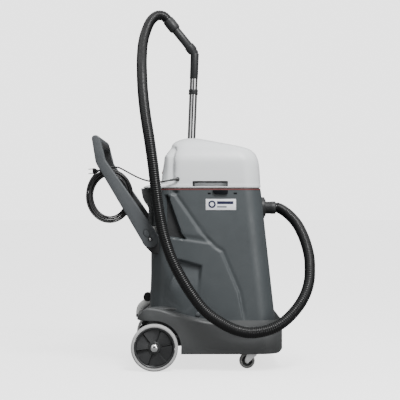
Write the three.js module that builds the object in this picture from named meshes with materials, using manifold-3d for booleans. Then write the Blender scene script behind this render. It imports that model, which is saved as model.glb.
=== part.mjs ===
// An upright wet-and-dry vacuum cleaner, in millimetres: +X is the front, +Z is up, -Y is the left side.
import * as THREE from 'three';
import { mergeVertices } from 'three/addons/utils/BufferGeometryUtils.js';
import Module from 'manifold-3d';

const wasm = await Module();
wasm.setup();

// Driving dimensions.
const GAP = 0.3;
const HALF_LENGTH = 408;
const HALF_TRACK = 249;
const OVERALL_HALF_WIDTH = 275;

const WHEEL = { x: -142, radius: 100, rimRadius: 86, boreRadius: 10.4, capRadius: 18, capHeight: 13.7 };
const AXLE_RADIUS = 10;
const ARCH_RADIUS = 113;
const ARCH_INNER_Y = 219;

const CASTOR = { x: 254, swivelX: 287, y: 180, radius: 33.5, coreRadius: 22, forkTop: 78 };
const CASTOR_SEAT = { bottom: 89.7, holeRadius: 8, pinRadius: 7.6, pinLength: 10 };

const CHASSIS = { bottom: 71, halfWidth: 250, deck: 150, wall: 8, skirtTop: 142 };

const REAR = { back: -232, fenderBottom: 213, blockBack: -168, blockBottom: 129, noseBottom: 106 };

const TANK = {
  bottom: 150.4, rim: 767, halfWidth: 214, wall: 5,
  gripBack: -150, notchBack: -155, backLean: -18, frontTop: 317, frontBottom: 385,
};
const NOTCH = { low: 578, high: 616 };
const DRAIN = { x: -147, radius: 19, top: 586, room: 22, roomFront: -126 };
const RELIEF = { proud: 4, depth: 3 };

const GASKET = { bottom: 767.3, top: 775.7 };
const HEAD = { bottom: 776, wall: 5, plateTop: 780.5 };
const MOTOR_X = [30, 190];

const PIVOT = { x: -160, z: 558, holeRadius: 6.3 };
const HANDLE = { outerY: 245, innerY: 203, top: 1000, barBottom: 957 };

const PANEL = { x: -113, low: 826, halfWidth: 62, height: 58, proud: 3, lean: THREE.MathUtils.degToRad(8.5) };

const ROCKERS = [['left', -28], ['right', 28]];

const INLET = { z: 690, flangeRadius: 47, neckRadius: 36, cuffRadius: 27.5, room: 1.6 };
const HOSE_RADIUS = 22.5;

const WAND = { y: 245, radius: 18, bore: 16.8, bottomZ: 292, jointZ: 760, collarZ: 1235, topZ: 1301 };
const WAND_LEAN = THREE.MathUtils.degToRad(2.2);
const WAND_AXIS = new THREE.Vector3(Math.sin(WAND_LEAN), 0, Math.cos(WAND_LEAN));
const WAND_FOOT = new THREE.Vector3(-11, WAND.y, WAND.bottomZ);
const ELBOW = new THREE.Vector3(32.5, WAND.y, 1420);
const GRIP_TOP = new THREE.Vector3(-58, WAND.y, 1532);
const CUFF_TOP = new THREE.Vector3(-96, WAND.y, 1579);

const CORD_RADIUS = 3.5;
const COIL = { x: -337, y: -170, z: 742, outerX: 103, outerZ: 120, band: 34, depth: 30 };
const PEG = { x: -325, z: 810.5, radius: 9 };
const GLAND = { x: -44, z: 814 };

// Colours.
const LIGHT_GREY = 0xdfe2e4;
const TANK_GREY = 0x5d6164;
const CHASSIS_GREY = 0x454748;
const HANDLE_GREY = 0x64676a;
const BLACK = 0x1f2023;
const RUBBER_GREY = 0xb9bcbd;
const RED = 0xb0443e;
const ZINC = 0xc8ccd0;
const STEEL = 0xd9dcde;
const WHITE = 0xf4f5f6;

// Solids: closed geometries are joined and cut as manifolds.
function solidOf(geometry) {
  const plain = geometry.index ? geometry.toNonIndexed() : geometry.clone();
  plain.deleteAttribute('normal');
  plain.deleteAttribute('uv');
  const merged = mergeVertices(plain, 1e-3);
  return new wasm.Manifold(new wasm.Mesh({
    numProp: 3,
    vertProperties: merged.attributes.position.array,
    triVerts: Uint32Array.from(merged.index.array),
  }));
}

function geometryOf(solid) {
  const mesh = solid.getMesh();
  const geometry = new THREE.BufferGeometry();
  geometry.setAttribute('position', new THREE.BufferAttribute(mesh.vertProperties, 3));
  geometry.setIndex(new THREE.BufferAttribute(mesh.triVerts, 1));
  return geometry;
}

function join(first, ...others) {
  return geometryOf(others.reduce((sum, part) => sum.add(solidOf(part)), solidOf(first)));
}

function cut(first, ...others) {
  return geometryOf(others.reduce((rest, part) => rest.subtract(solidOf(part)), solidOf(first)));
}

function common(first, second) {
  return geometryOf(solidOf(first).intersect(solidOf(second)));
}

// A box given by its lowest and highest corners.
function box(low, high) {
  const geometry = new THREE.BoxGeometry(high[0] - low[0], high[1] - low[1], high[2] - low[2]);
  return geometry.translate((low[0] + high[0]) / 2, (low[1] + high[1]) / 2, (low[2] + high[2]) / 2);
}

// A side view's outline in X and Z, given thickness between two Y values.
function sideProfile(shape, fromY, toY, curveSegments = 5) {
  const settings = { depth: toY - fromY, bevelEnabled: false, curveSegments };
  const geometry = new THREE.ExtrudeGeometry(shape, settings);
  return geometry.rotateX(Math.PI / 2).translate(0, toY, 0);
}

function polygon(points) {
  return new THREE.Shape(points.map(([x, z]) => new THREE.Vector2(x, z)));
}

// A turned profile of [radius, height] points, set along a direction from a base point.
function turned(profile, base, direction, segments = 16) {
  const points = profile.map(([radius, height]) => new THREE.Vector2(radius, height));
  const geometry = new THREE.LatheGeometry(points, segments);
  const turn = new THREE.Quaternion().setFromUnitVectors(new THREE.Vector3(0, 1, 0), direction);
  return geometry.applyQuaternion(turn).translate(base.x, base.y, base.z);
}

function rod(base, direction, length, radius, segments = 16) {
  return turned([[0, 0], [radius, 0], [radius, length], [0, length]], base, direction, segments);
}

function tube(base, direction, length, outer, inner, segments = 16) {
  const profile = [[inner, 0], [outer, 0], [outer, length], [inner, length], [inner, 0]];
  return turned(profile, base, direction, segments);
}

function between(from, to, outer, inner = 0, segments = 16) {
  const along = to.clone().sub(from);
  const length = along.length();
  along.normalize();
  if (inner > 0) return tube(from, along, length, outer, inner, segments);
  return rod(from, along, length, outer, segments);
}

// A round section swept along a curve.
function swept(curve, radius, steps, sides) {
  const section = new THREE.Shape();
  for (let i = 0; i < sides; i += 1) {
    const angle = (2 * Math.PI * i) / sides;
    const corner = [radius * Math.cos(angle), radius * Math.sin(angle)];
    if (i === 0) section.moveTo(...corner);
    else section.lineTo(...corner);
  }
  return new THREE.ExtrudeGeometry(section, { steps, bevelEnabled: false, extrudePath: curve });
}

function smoothCurve(points) {
  return new THREE.CatmullRomCurve3(points.map((p) => new THREE.Vector3(...p)), false, 'centripetal');
}

// A level ring of a body with round corners: back and front are X, with a corner radius for each.
function ring(z, back, front, halfWidth, backRadius, frontRadius, segments = 4) {
  const corners = [
    [front - frontRadius, halfWidth - frontRadius, frontRadius, 0],
    [back + backRadius, halfWidth - backRadius, backRadius, 1],
    [back + backRadius, -halfWidth + backRadius, backRadius, 2],
    [front - frontRadius, -halfWidth + frontRadius, frontRadius, 3],
  ];
  const points = [];
  for (const [x, y, radius, quarter] of corners) {
    for (let i = 0; i <= segments; i += 1) {
      const angle = (Math.PI / 2) * (quarter + i / segments);
      points.push(new THREE.Vector3(x + radius * Math.cos(angle), y + radius * Math.sin(angle), z));
    }
  }
  return points;
}

// A closed body through level rings, from the lowest to the highest.
function loft(rings) {
  const count = rings[0].length;
  const positions = rings.flat().flatMap((p) => [p.x, p.y, p.z]);
  const indices = [];
  for (let level = 0; level + 1 < rings.length; level += 1) {
    for (let i = 0; i < count; i += 1) {
      const a = level * count + i;
      const b = level * count + ((i + 1) % count);
      indices.push(a, b, b + count, a, b + count, a + count);
    }
  }
  const last = (rings.length - 1) * count;
  for (let i = 1; i + 1 < count; i += 1) {
    indices.push(0, i + 1, i, last, last + i, last + i + 1);
  }
  const geometry = new THREE.BufferGeometry();
  geometry.setAttribute('position', new THREE.Float32BufferAttribute(positions, 3));
  geometry.setIndex(indices);
  return geometry;
}

const part = new THREE.Group();

function add(name, geometry, color, roughness = 0.55, metalness = 0) {
  const mesh = new THREE.Mesh(geometry, new THREE.MeshStandardMaterial({ color, roughness, metalness }));
  mesh.name = name;
  part.add(mesh);
}

const UP = new THREE.Vector3(0, 0, 1);
const FORWARD = new THREE.Vector3(1, 0, 0);
const SIDES = [['left', -1], ['right', 1]];

function across(side) {
  return new THREE.Vector3(0, side, 0);
}

// Tank: its front leans out towards the bottom, and its side carries a raised relief with sunk panels.
function tankFront(z) {
  const share = (z - TANK.bottom) / (TANK.rim - TANK.bottom);
  return TANK.frontBottom + share * (TANK.frontTop - TANK.frontBottom);
}

// The back leans out below the notch, and stands upright behind the grip above it.
function tankBack(z) {
  return z > NOTCH.low ? TANK.gripBack : TANK.notchBack + ((NOTCH.low - z) / NOTCH.low) * TANK.backLean;
}

function tankRing(z, inset) {
  const halfWidth = TANK.halfWidth - inset;
  return ring(z, tankBack(z) + inset, tankFront(z) - inset, halfWidth, 75 - inset, 80 - inset);
}

function tankRings(low, high, inset) {
  return [low, NOTCH.low, NOTCH.low + 10, high].map((z) => tankRing(z, inset));
}

// The drain hose lies in a groove down the middle of the back, and a notch crosses it behind the pivots.
function drainRoom(grow) {
  const front = DRAIN.roomFront + grow;
  const groove = box([-240, -DRAIN.room - grow, 140], [front, DRAIN.room + grow, NOTCH.high]);
  const notch = box([-240, -240, NOTCH.low - grow], [front, 240, NOTCH.high + grow]);
  return join(groove, notch);
}

function reliefOutline() {
  const arm = [[-66, 470], [-74, 735], [-58, 749], [118, 530]];
  const belt = [[140, 520], [152, 495], [236, 262], [-40, 262]];
  return polygon([...arm, ...belt]);
}

function upperRecess() {
  return polygon([[-64, 690], [-14, 566], [-58, 566]]);
}

function lowerRecess() {
  return polygon([[-38, 479], [61, 440], [53, 300], [-30, 282]]);
}

function makeTank() {
  const outside = loft([tankRing(TANK.bottom, 8), ...tankRings(TANK.bottom + 12, TANK.rim, 0)]);
  const cavity = loft([tankRing(TANK.bottom + 8, 20), ...tankRings(TANK.bottom + 30, TANK.rim + 1, 9)]);
  const inside = cut(cavity, drainRoom(TANK.wall));
  const outer = TANK.halfWidth + RELIEF.proud;
  const reliefs = [];
  const recesses = [];
  for (const [, side] of SIDES) {
    const range = (near, far) => [Math.min(side * near, side * far), Math.max(side * near, side * far)];
    reliefs.push(sideProfile(reliefOutline(), ...range(TANK.halfWidth - 2, outer)));
    recesses.push(sideProfile(upperRecess(), ...range(TANK.halfWidth - RELIEF.depth, outer + 5)));
    recesses.push(sideProfile(lowerRecess(), ...range(TANK.halfWidth - RELIEF.depth, outer + 5)));
  }
  const inlet = rod(new THREE.Vector3(260, 0, INLET.z), FORWARD, 100, 24);
  return cut(join(outside, ...reliefs), inside, inlet, drainRoom(0), ...recesses);
}

// Chassis: a tray that the tank stands in, with wheel arches and an open underside.
function chassisProfile() {
  const shape = new THREE.Shape();
  shape.moveTo(-29.5, CHASSIS.bottom);
  shape.lineTo(380, CHASSIS.bottom);
  shape.quadraticCurveTo(402, 74, HALF_LENGTH, 88);
  shape.lineTo(HALF_LENGTH, 172);
  shape.quadraticCurveTo(HALF_LENGTH, 181, 398, 183);
  shape.quadraticCurveTo(180, 196, 0, 232);
  shape.quadraticCurveTo(-90, 262, -168, 268);
  shape.quadraticCurveTo(-190, 266, -228, 226);
  shape.lineTo(REAR.back, 222);
  shape.lineTo(-224, REAR.fenderBottom);
  shape.lineTo(WHEEL.x, REAR.fenderBottom);
  shape.lineTo(WHEEL.x, REAR.blockBottom);
  shape.lineTo(-110, REAR.blockBottom);
  shape.lineTo(-110, REAR.noseBottom);
  shape.lineTo(-29.5, REAR.noseBottom);
  return shape;
}

function axleBracket(side) {
  const y = side * 196;
  const shape = polygon([[-180, 132], [-168, 82], [-116, 82], [-104, 132]]);
  const hole = rod(new THREE.Vector3(WHEEL.x, y - 12, WHEEL.radius), across(1), 24, AXLE_RADIUS + GAP);
  return cut(sideProfile(shape, y - 6, y + 6), hole);
}

function makeChassis() {
  const outline = (z) => ring(z, REAR.back, HALF_LENGTH, CHASSIS.halfWidth, 55, 95);
  const block = common(loft([outline(60), outline(280)]), sideProfile(chassisProfile(), -260, 260));
  const rearTop = REAR.fenderBottom + 1;
  const rear = common(
    loft([outline(REAR.blockBottom), outline(rearTop)]),
    box([REAR.blockBack, -ARCH_INNER_Y, REAR.blockBottom], [WHEEL.x + 1, ARCH_INNER_Y, rearTop]),
  );
  const pocket = loft([
    tankRing(CHASSIS.deck, 8 - GAP),
    tankRing(TANK.bottom + 12 - GAP, -GAP),
    tankRing(300, -GAP),
  ]);
  const reliefRoom = box([-100, -TANK.halfWidth - 5, 261], [240, TANK.halfWidth + 5, 300]);
  const below = ring(60, -20, HALF_LENGTH - CHASSIS.wall, CHASSIS.halfWidth - CHASSIS.wall, 10, 87);
  const above = ring(CHASSIS.skirtTop, -20, HALF_LENGTH - 14, CHASSIS.halfWidth - 10, 10, 84);
  const parts = [];
  const drainNotch = box([-240, -DRAIN.room, 190], [-160, DRAIN.room, 300]);
  const holes = [pocket, reliefRoom, loft([below, above]), drainNotch];
  for (const [, side] of SIDES) {
    const outerY = side * 270;
    const innerY = side * ARCH_INNER_Y;
    const base = new THREE.Vector3(WHEEL.x, innerY, WHEEL.radius);
    holes.push(rod(base, across(side), 60, ARCH_RADIUS, 32));
    const under = [-240, Math.min(outerY, innerY), WHEEL.radius];
    holes.push(box(under, [WHEEL.x, Math.max(outerY, innerY), REAR.fenderBottom]));
    const y = side * CASTOR.y;
    const seat = box([CASTOR.swivelX - 42, y - 36, CASTOR_SEAT.bottom], [CASTOR.swivelX + 42, y + 36, 149]);
    const pinBase = new THREE.Vector3(CASTOR.swivelX, y, CASTOR_SEAT.bottom - 5);
    parts.push(cut(seat, rod(pinBase, UP, 20, CASTOR_SEAT.holeRadius)));
    parts.push(axleBracket(side));
  }
  return join(cut(join(block, rear), ...holes), ...parts);
}

add('tank', makeTank(), TANK_GREY, 0.5);
add('chassis', makeChassis(), CHASSIS_GREY, 0.6);

const gasketOutside = loft([
  tankRing(GASKET.bottom, 2),
  tankRing(GASKET.top, 2),
]);
const gasketInside = loft([
  tankRing(GASKET.bottom - 1, 20),
  tankRing(GASKET.top + 1, 20),
]);
add('rim_gasket', cut(gasketOutside, gasketInside), RED, 0.7);

// Rear grip under the rim, and the notch behind the pivots that shows the drain hose.
const GRIP_TOP_Z = 775.5;
const gripSide = polygon([
  [TANK.gripBack - GAP, 616], [-172, 616], [-172, 688], [-188, 711], [-199, 742], [-205, GRIP_TOP_Z],
  [TANK.gripBack - GAP, GRIP_TOP_Z],
]);
const gripHollow = box([-195, -55, 610], [-140, 55, 706]);
add('rear_grip', cut(sideProfile(gripSide, -128, 128), gripHollow), CHASSIS_GREY, 0.6);

// Inlet at the front: the tank's front leans, so the flange's back face is cut by a copy of the tank.
const flangeBore = INLET.cuffRadius + INLET.room;
const flangeBody = tube(new THREE.Vector3(300, 0, INLET.z), FORWARD, 40, INLET.flangeRadius, flangeBore, 20);
const tankBlock = loft(tankRings(TANK.bottom, TANK.rim, -GAP));
const flangeNeck = tube(new THREE.Vector3(336, 0, INLET.z), FORWARD, 11, INLET.neckRadius, flangeBore, 20);
add('inlet_flange', cut(join(flangeBody, flangeNeck), tankBlock), BLACK, 0.6);
const cuffBase = new THREE.Vector3(331.5, 0, INLET.z);
const cuffProfile = [
  [0, 0], [INLET.cuffRadius, 0], [INLET.cuffRadius, 34], [INLET.cuffRadius + 1, 40],
  [INLET.cuffRadius + 1, 58], [INLET.cuffRadius - 2, 62.2], [0, 62.2],
];
add('inlet_cuff', turned(cuffProfile, cuffBase, FORWARD), BLACK, 0.6);

// The tank's outer block with its drain groove, grown by the gap that touching parts keep.
function tankBlockGrown() {
  return cut(loft(tankRings(TANK.bottom, TANK.rim, -GAP)), drainRoom(-GAP));
}

// Drain hose down the groove at the back, out over the chassis to its outlet, with a clip and a screw cap.
const DRAIN_FOOT = new THREE.Vector3(-214, 0, 214);
const drainRoute = smoothCurve([
  DRAIN_FOOT.toArray(), [-214, 0, 226], [-209, 0, 243], [-195, 0, 258], [-177, 0, 271], [-160, 0, 290],
  [-150, 0, 318], [DRAIN.x, 0, 360], [DRAIN.x, 0, 450], [DRAIN.x, 0, 520], [DRAIN.x, 0, DRAIN.top],
]);
add('drain_hose', swept(drainRoute, DRAIN.radius, 16, 12), RUBBER_GREY, 0.6);
const OUTLET = { radius: 19.5, length: 13 };
const outletTop = DRAIN_FOOT.clone().add(new THREE.Vector3(0, 0, -GAP));
add('drain_outlet', rod(outletTop, UP.clone().negate(), OUTLET.length, OUTLET.radius), BLACK, 0.6);

// A roller-shaped clip holds the drain hose down where it comes off the tank's back.
const CLIP = { x: -181, z: 291, radius: 19, halfWidth: 21.5 };
const clipBase = new THREE.Vector3(CLIP.x, -CLIP.halfWidth, CLIP.z);
const clipRod = rod(clipBase, across(1), 2 * CLIP.halfWidth, CLIP.radius, 24);
const hoseRoom = swept(drainRoute, DRAIN.radius + 2 * GAP, 16, 12);
add('drain_clip', cut(clipRod, hoseRoom, tankBlockGrown()), BLACK, 0.6);
const drainCapBase = new THREE.Vector3(DRAIN.x, 0, DRAIN.top + GAP);
const drainCapProfile = [[0, 0], [DRAIN.radius, 0], [DRAIN.radius, 10], [8, 12], [8, 22], [0, 22]];
add('drain_plug', turned(drainCapProfile, drainCapBase, UP), RUBBER_GREY, 0.6);

// Label plate on the left side, plain.
const LABEL = { x0: 76, x1: 205, z0: 682, z1: 729, thickness: 1 };
add('label_plate', box(
  [LABEL.x0, -TANK.halfWidth - GAP - LABEL.thickness, LABEL.z0],
  [LABEL.x1, -TANK.halfWidth - GAP, LABEL.z1],
), WHITE, 0.4);

// Rear axle and the rear wheels.
const axleLength = 2 * (OVERALL_HALF_WIDTH - 16);
const axleBase = new THREE.Vector3(WHEEL.x, -axleLength / 2, WHEEL.radius);
add('rear_axle', rod(axleBase, across(1), axleLength, AXLE_RADIUS), STEEL, 0.3, 1);

const tyreProfile = [
  [WHEEL.rimRadius + 0.8, -17], [WHEEL.radius - 8, -21], [WHEEL.radius, -12], [WHEEL.radius, 12],
  [WHEEL.radius - 8, 21], [WHEEL.rimRadius + 0.8, 17], [WHEEL.rimRadius + 0.8, -17],
];
const rimProfile = [
  [WHEEL.boreRadius, -16], [28, -16], [32, -8], [76, -8], [WHEEL.rimRadius, -17], [WHEEL.rimRadius, 17],
  [76, 8], [32, 8], [28, 12], [WHEEL.boreRadius, 12], [WHEEL.boreRadius, -16],
];
const capProfile = [[0, 0], [WHEEL.capRadius, 0], [WHEEL.capRadius, 4], [12, 10.5], [0, WHEEL.capHeight]];

function wheelPart(side, profile, segments) {
  const centre = new THREE.Vector3(WHEEL.x, side * HALF_TRACK, WHEEL.radius);
  return turned(profile, centre, across(side), segments);
}

for (const [name, side] of SIDES) {
  add(`wheel_tyre_${name}`, wheelPart(side, tyreProfile, 32), RUBBER_GREY, 0.8);
  add(`wheel_rim_${name}`, wheelPart(side, rimProfile, 20), CHASSIS_GREY, 0.5);
  const capBase = new THREE.Vector3(WHEEL.x, side * (OVERALL_HALF_WIDTH - WHEEL.capHeight), WHEEL.radius);
  add(`hub_cap_${name}`, turned(capProfile, capBase, across(side)), STEEL, 0.15, 1);
}

// Front castors: a swivelling fork with its axle, pinned under the chassis, and a wheel.
function castorFork(y) {
  const shape = new THREE.Shape();
  shape.moveTo(CASTOR.swivelX + 22, 84);
  shape.lineTo(CASTOR.swivelX - 24, 84);
  shape.lineTo(CASTOR.x - 10, CASTOR.radius);
  shape.absarc(CASTOR.x, CASTOR.radius, 10, Math.PI, 2 * Math.PI, false);
  shape.lineTo(CASTOR.swivelX + 20, 76);
  const legs = sideProfile(shape, y - 17, y + 17);
  const slot = box([200, y - 14, 0], [340, y + 14, 72]);
  const axle = rod(new THREE.Vector3(CASTOR.x, y - 20, CASTOR.radius), across(1), 40, 4, 16);
  const centre = new THREE.Vector3(CASTOR.swivelX, y, CASTOR.forkTop);
  const headTop = CASTOR_SEAT.bottom - GAP - CASTOR.forkTop;
  const pinTop = headTop + CASTOR_SEAT.pinLength;
  const { pinRadius } = CASTOR_SEAT;
  const headProfile = [
    [0, 0], [27, 0], [27, headTop], [pinRadius, headTop], [pinRadius, pinTop], [0, pinTop],
  ];
  const head = turned(headProfile, centre, UP);
  return join(cut(legs, slot), head, axle);
}

const castorTyreProfile = [
  [CASTOR.coreRadius + 0.6, -10], [30, -12], [CASTOR.radius, -6], [CASTOR.radius, 6], [30, 12],
  [CASTOR.coreRadius + 0.6, 10], [CASTOR.coreRadius + 0.6, -10],
];
const castorCoreProfile = [
  [4.1, -13], [9, -13], [10, -7], [CASTOR.coreRadius, -9], [CASTOR.coreRadius, 9],
  [10, 7], [9, 13], [4.1, 13], [4.1, -13],
];

for (const [name, side] of SIDES) {
  const y = side * CASTOR.y;
  const hub = new THREE.Vector3(CASTOR.x, y, CASTOR.radius);
  add(`castor_fork_${name}`, castorFork(y), ZINC, 0.4, 1);
  add(`castor_tyre_${name}`, turned(castorTyreProfile, hub, across(1), 24), RUBBER_GREY, 0.8);
  add(`castor_core_${name}`, turned(castorCoreProfile, hub, across(1)), BLACK, 0.6);
}

// Head: a domed cover whose top slopes down to the front, with a ledge at the rear.
function headRings(inset) {
  const levels = [
    [HEAD.bottom, -198, 316, 212, 120, 80],
    [783, -190, 316, 212, 112, 80],
    [792, -168, 315.5, 211.5, 98, 80],
    [796, -118, 315, 211, 80, 80],
    [850, -109, 311, 209, 80, 80],
    [895, -103, 303, 205, 78, 78],
    [922, -98, 291, 197, 76, 76],
    [945, -80, 262, 184, 74, 74],
    [965, -69, 210, 165, 68, 68],
    [984, -45, 118, 132, 60, 60],
    [996, -14, 58, 90, 34, 34],
    [999, 4, 36, 52, 15, 15],
  ];
  const last = levels.length - 1;
  const lowered = (i) => {
    if (inset === 0) return 0;
    if (i === 0) return 1;
    return i === last ? inset : 0.7 * inset;
  };
  return levels.map(([z, back, front, halfWidth, backRadius, frontRadius], i) => {
    const less = Math.min(inset, backRadius - 5);
    const sides = [back + inset, front - inset, halfWidth - inset];
    return ring(z - lowered(i), ...sides, backRadius - less, frontRadius - less);
  });
}

function gripPocket(side, grow) {
  const ys = [side * 230, side * (192 - grow)];
  const low = [19 - grow, Math.min(...ys), 783 - grow];
  const high = [171 + grow, Math.max(...ys), 806 + grow];
  return box(low, high);
}

function makeHeadCover() {
  const outside = loft(headRings(0));
  const hollow = loft(headRings(HEAD.wall));
  let shell = cut(outside, hollow);
  for (const [, side] of SIDES) {
    const pocketWall = common(gripPocket(side, 2), outside);
    shell = cut(join(shell, pocketWall), gripPocket(side, 0));
  }
  const gland = rod(new THREE.Vector3(GLAND.x, -230, GLAND.z), across(1), 40, 6.5, 16);
  return cut(shell, gland, ...ROCKERS.map(([, y]) => rockerRoom(y)));
}

add('head_cover', makeHeadCover(), LIGHT_GREY, 0.45);

// Under the cover: the base plate carries the motors, their fans, and the float cage that hangs in the tank.
const FLOAT = { x: 110, y: 0, z: 690, radius: 24, cageBottom: 655 };

function makeBasePlate() {
  const plateRing = (z) => ring(z, -150, 308, 205, 80, 72, 5);
  const holes = MOTOR_X.map((x) => rod(new THREE.Vector3(x, 0, 770), UP, 20, 20));
  return cut(loft([plateRing(HEAD.bottom + GAP), plateRing(HEAD.plateTop)]), ...holes);
}

add('head_base', makeBasePlate(), BLACK, 0.6);

MOTOR_X.forEach((x, i) => {
  const name = i === 0 ? 'rear' : 'front';
  const centre = new THREE.Vector3(x, 0, HEAD.plateTop + GAP);
  const housing = [
    [60, 0], [66, 0], [66, 62], [50, 66], [50, 132], [36, 142], [0, 142], [0, 40], [60, 40], [60, 0],
  ];
  add(`motor_${name}`, turned(housing, centre, UP), ZINC, 0.5, 1);
  const fan = [[0, 6], [56, 6], [56, 10], [20, 28], [14, 34], [0, 34]];
  add(`motor_fan_${name}`, turned(fan, centre, UP), STEEL, 0.4, 1);
});

const cageProfile = [
  [0, 0], [52, 0], [52, 110], [60, 110], [60, 114], [47, 114], [47, 4], [0, 4],
];
const cageBase = new THREE.Vector3(FLOAT.x, FLOAT.y, FLOAT.cageBottom);
const cageSlots = [0, 1, 2].map((i) => {
  const slot = box([-70, -14, 20], [70, 14, 90]);
  return slot.rotateZ((i * Math.PI) / 3).translate(FLOAT.x, FLOAT.y, FLOAT.cageBottom);
});
add('float_cage', cut(turned(cageProfile, cageBase, UP), ...cageSlots), BLACK, 0.6);
const floatBall = new THREE.SphereGeometry(FLOAT.radius, 12, 8).translate(FLOAT.x, FLOAT.y, FLOAT.z);
add('float', floatBall, WHITE, 0.5);

// Gland: the mains lead leaves it towards the rear.
const glandDirection = new THREE.Vector3(-0.93, -0.33, -0.16).normalize();
const glandNeck = rod(new THREE.Vector3(GLAND.x, -217, GLAND.z), across(1), 16, 6, 16);
const glandRelief = turned([[0, -3], [6.4, -3], [6.4, 3], [4.6, 34], [0, 34]],
  new THREE.Vector3(GLAND.x, -221, GLAND.z), glandDirection, 16);
add('cord_gland', join(glandNeck, glandRelief), BLACK, 0.7);

// Switch panel on the operator's side of the head: it leans with the cover, and two rockers stand in windows.
// From the panel's own frame, its X out of the cover's face and its Z up from its lower edge, to the part's.
function leanWithCover(geometry) {
  return geometry.rotateY(PANEL.lean).translate(PANEL.x, 0, PANEL.low);
}

function rockerRoom(y) {
  return leanWithCover(box([-8, y - 12, 14], [14, y + 12, 46]));
}

function makePanel() {
  const upright = box([-PANEL.proud, -PANEL.halfWidth, 0], [12, PANEL.halfWidth, PANEL.height]);
  const block = leanWithCover(upright);
  const cover = loft(headRings(0)).translate(-GAP, 0, 0);
  return cut(block, cover, ...ROCKERS.map(([, y]) => rockerRoom(y)));
}

add('switch_panel', makePanel(), BLACK, 0.6);

for (const [name, y] of ROCKERS) {
  const shape = polygon([[4, 17], [4, 43], [-2.5, 43.6], [-4.3, 30], [-6.8, 16.4]]);
  const rocker = leanWithCover(sideProfile(shape, y - 10.5, y + 10.5));
  add(`rocker_${name}`, rocker, name === 'left' ? RED : BLACK, 0.4);
}

// Latches at the rim: each turns on the stub pins at its lower edge.
const LATCH = { x0: 105, x1: 171, pinZ: 751.5, pinOut: 5.5 };

function latchShape() {
  const shape = polygon([[-3.5, -3], [3.5, -3], [3.5, 12.5], [1.5, 15.3], [-3.5, 15.3]]);
  const settings = { depth: LATCH.x1 - LATCH.x0, bevelEnabled: false };
  return new THREE.ExtrudeGeometry(shape, settings);
}

for (const [name, side] of SIDES) {
  const y = side * (TANK.halfWidth + LATCH.pinOut);
  const body = latchShape().applyMatrix4(new THREE.Matrix4().makeBasis(
    new THREE.Vector3(0, side, 0), new THREE.Vector3(0, 0, 1), new THREE.Vector3(side, 0, 0),
  ));
  const start = side < 0 ? LATCH.x1 : LATCH.x0;
  body.translate(start, y, LATCH.pinZ);
  const pinBase = new THREE.Vector3(LATCH.x0 - 4, y, LATCH.pinZ);
  const pin = rod(pinBase, FORWARD, LATCH.x1 - LATCH.x0 + 8, 2, 12);
  add(`latch_${name}`, join(body, pin), BLACK, 0.45);
}

// Handle: two tapered arms and a bar across the top, turning on a screw in each tank bracket.
function handleOutline() {
  const shape = new THREE.Shape();
  shape.moveTo(-192, 549);
  shape.absarc(PIVOT.x, PIVOT.z, 36, Math.PI * 1.08, Math.PI * 2.16, false);
  shape.lineTo(-222, 713);
  shape.lineTo(-346, 888);
  shape.quadraticCurveTo(-352, 898, -354, 910);
  shape.lineTo(-373, 984);
  shape.quadraticCurveTo(-378, HANDLE.top, -394, HANDLE.top);
  shape.quadraticCurveTo(-HALF_LENGTH, HANDLE.top, -HALF_LENGTH, 984);
  shape.lineTo(-393, 893);
  shape.quadraticCurveTo(-390, 878, -381, 865);
  return shape;
}

const ARM_LEAN = THREE.MathUtils.degToRad(31);
const BUTTON = { x: -175, z: 583, halfLong: 15, halfWide: 11, depth: 12, proud: 1.2 };

// An oval post across the arm, its long way along the arm.
function ovalPost(grow, fromY, toY) {
  const base = new THREE.Vector3(0, fromY, 0);
  const post = rod(base, across(1), toY - fromY, 1, 20);
  post.scale(BUTTON.halfWide + grow, 1, BUTTON.halfLong + grow);
  return post.rotateY(-ARM_LEAN).translate(BUTTON.x, 0, BUTTON.z);
}

function makeHandle() {
  const whole = sideProfile(handleOutline(), -HANDLE.outerY, HANDLE.outerY);
  const middle = box([-500, -HANDLE.innerY, 400], [0, HANDLE.innerY, HANDLE.barBottom]);
  const cuts = [middle];
  for (const [, side] of SIDES) {
    const inner = side * (HANDLE.outerY - BUTTON.depth);
    const outer = side * (HANDLE.outerY + 5);
    cuts.push(ovalPost(GAP, Math.min(inner, outer), Math.max(inner, outer)));
    cuts.push(rod(new THREE.Vector3(PIVOT.x, side * 190, PIVOT.z), across(side), 60, PIVOT.holeRadius));
    cuts.push(rod(new THREE.Vector3(PIVOT.x, side * (HANDLE.outerY - 4), PIVOT.z), across(side), 10, 9.5));
  }
  return cut(whole, ...cuts);
}

add('handle_frame', makeHandle(), HANDLE_GREY, 0.55);

function pivotBracket(side) {
  const near = 150;
  const far = HANDLE.innerY - 2 * GAP;
  const shape = new THREE.Shape();
  shape.moveTo(-182, 524);
  shape.lineTo(-152, 494);
  shape.lineTo(-40, 494);
  shape.lineTo(-40, 576);
  shape.lineTo(-188, 576);
  const plate = sideProfile(shape, Math.min(side * near, side * far), Math.max(side * near, side * far));
  const hole = rod(new THREE.Vector3(PIVOT.x, side * 120, PIVOT.z), across(side), 100, 6 + GAP);
  return cut(plate, tankBlock, hole);
}

for (const [name, side] of SIDES) {
  add(`handle_bracket_${name}`, pivotBracket(side), TANK_GREY, 0.5);
  const screw = turned([[0, 0], [6, 0], [6, 75.4], [9, 75.4], [9, 78.4], [0, 78.4]],
    new THREE.Vector3(PIVOT.x, side * 166, PIVOT.z), across(side));
  add(`pivot_screw_${name}`, screw, STEEL, 0.25, 1);
  const ends = [side * (HANDLE.outerY - BUTTON.depth + 6), side * (HANDLE.outerY + BUTTON.proud)];
  const button = ovalPost(-GAP, Math.min(...ends), Math.max(...ends));
  add(`lock_button_${name}`, button, HANDLE_GREY, 0.5);
}

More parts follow.
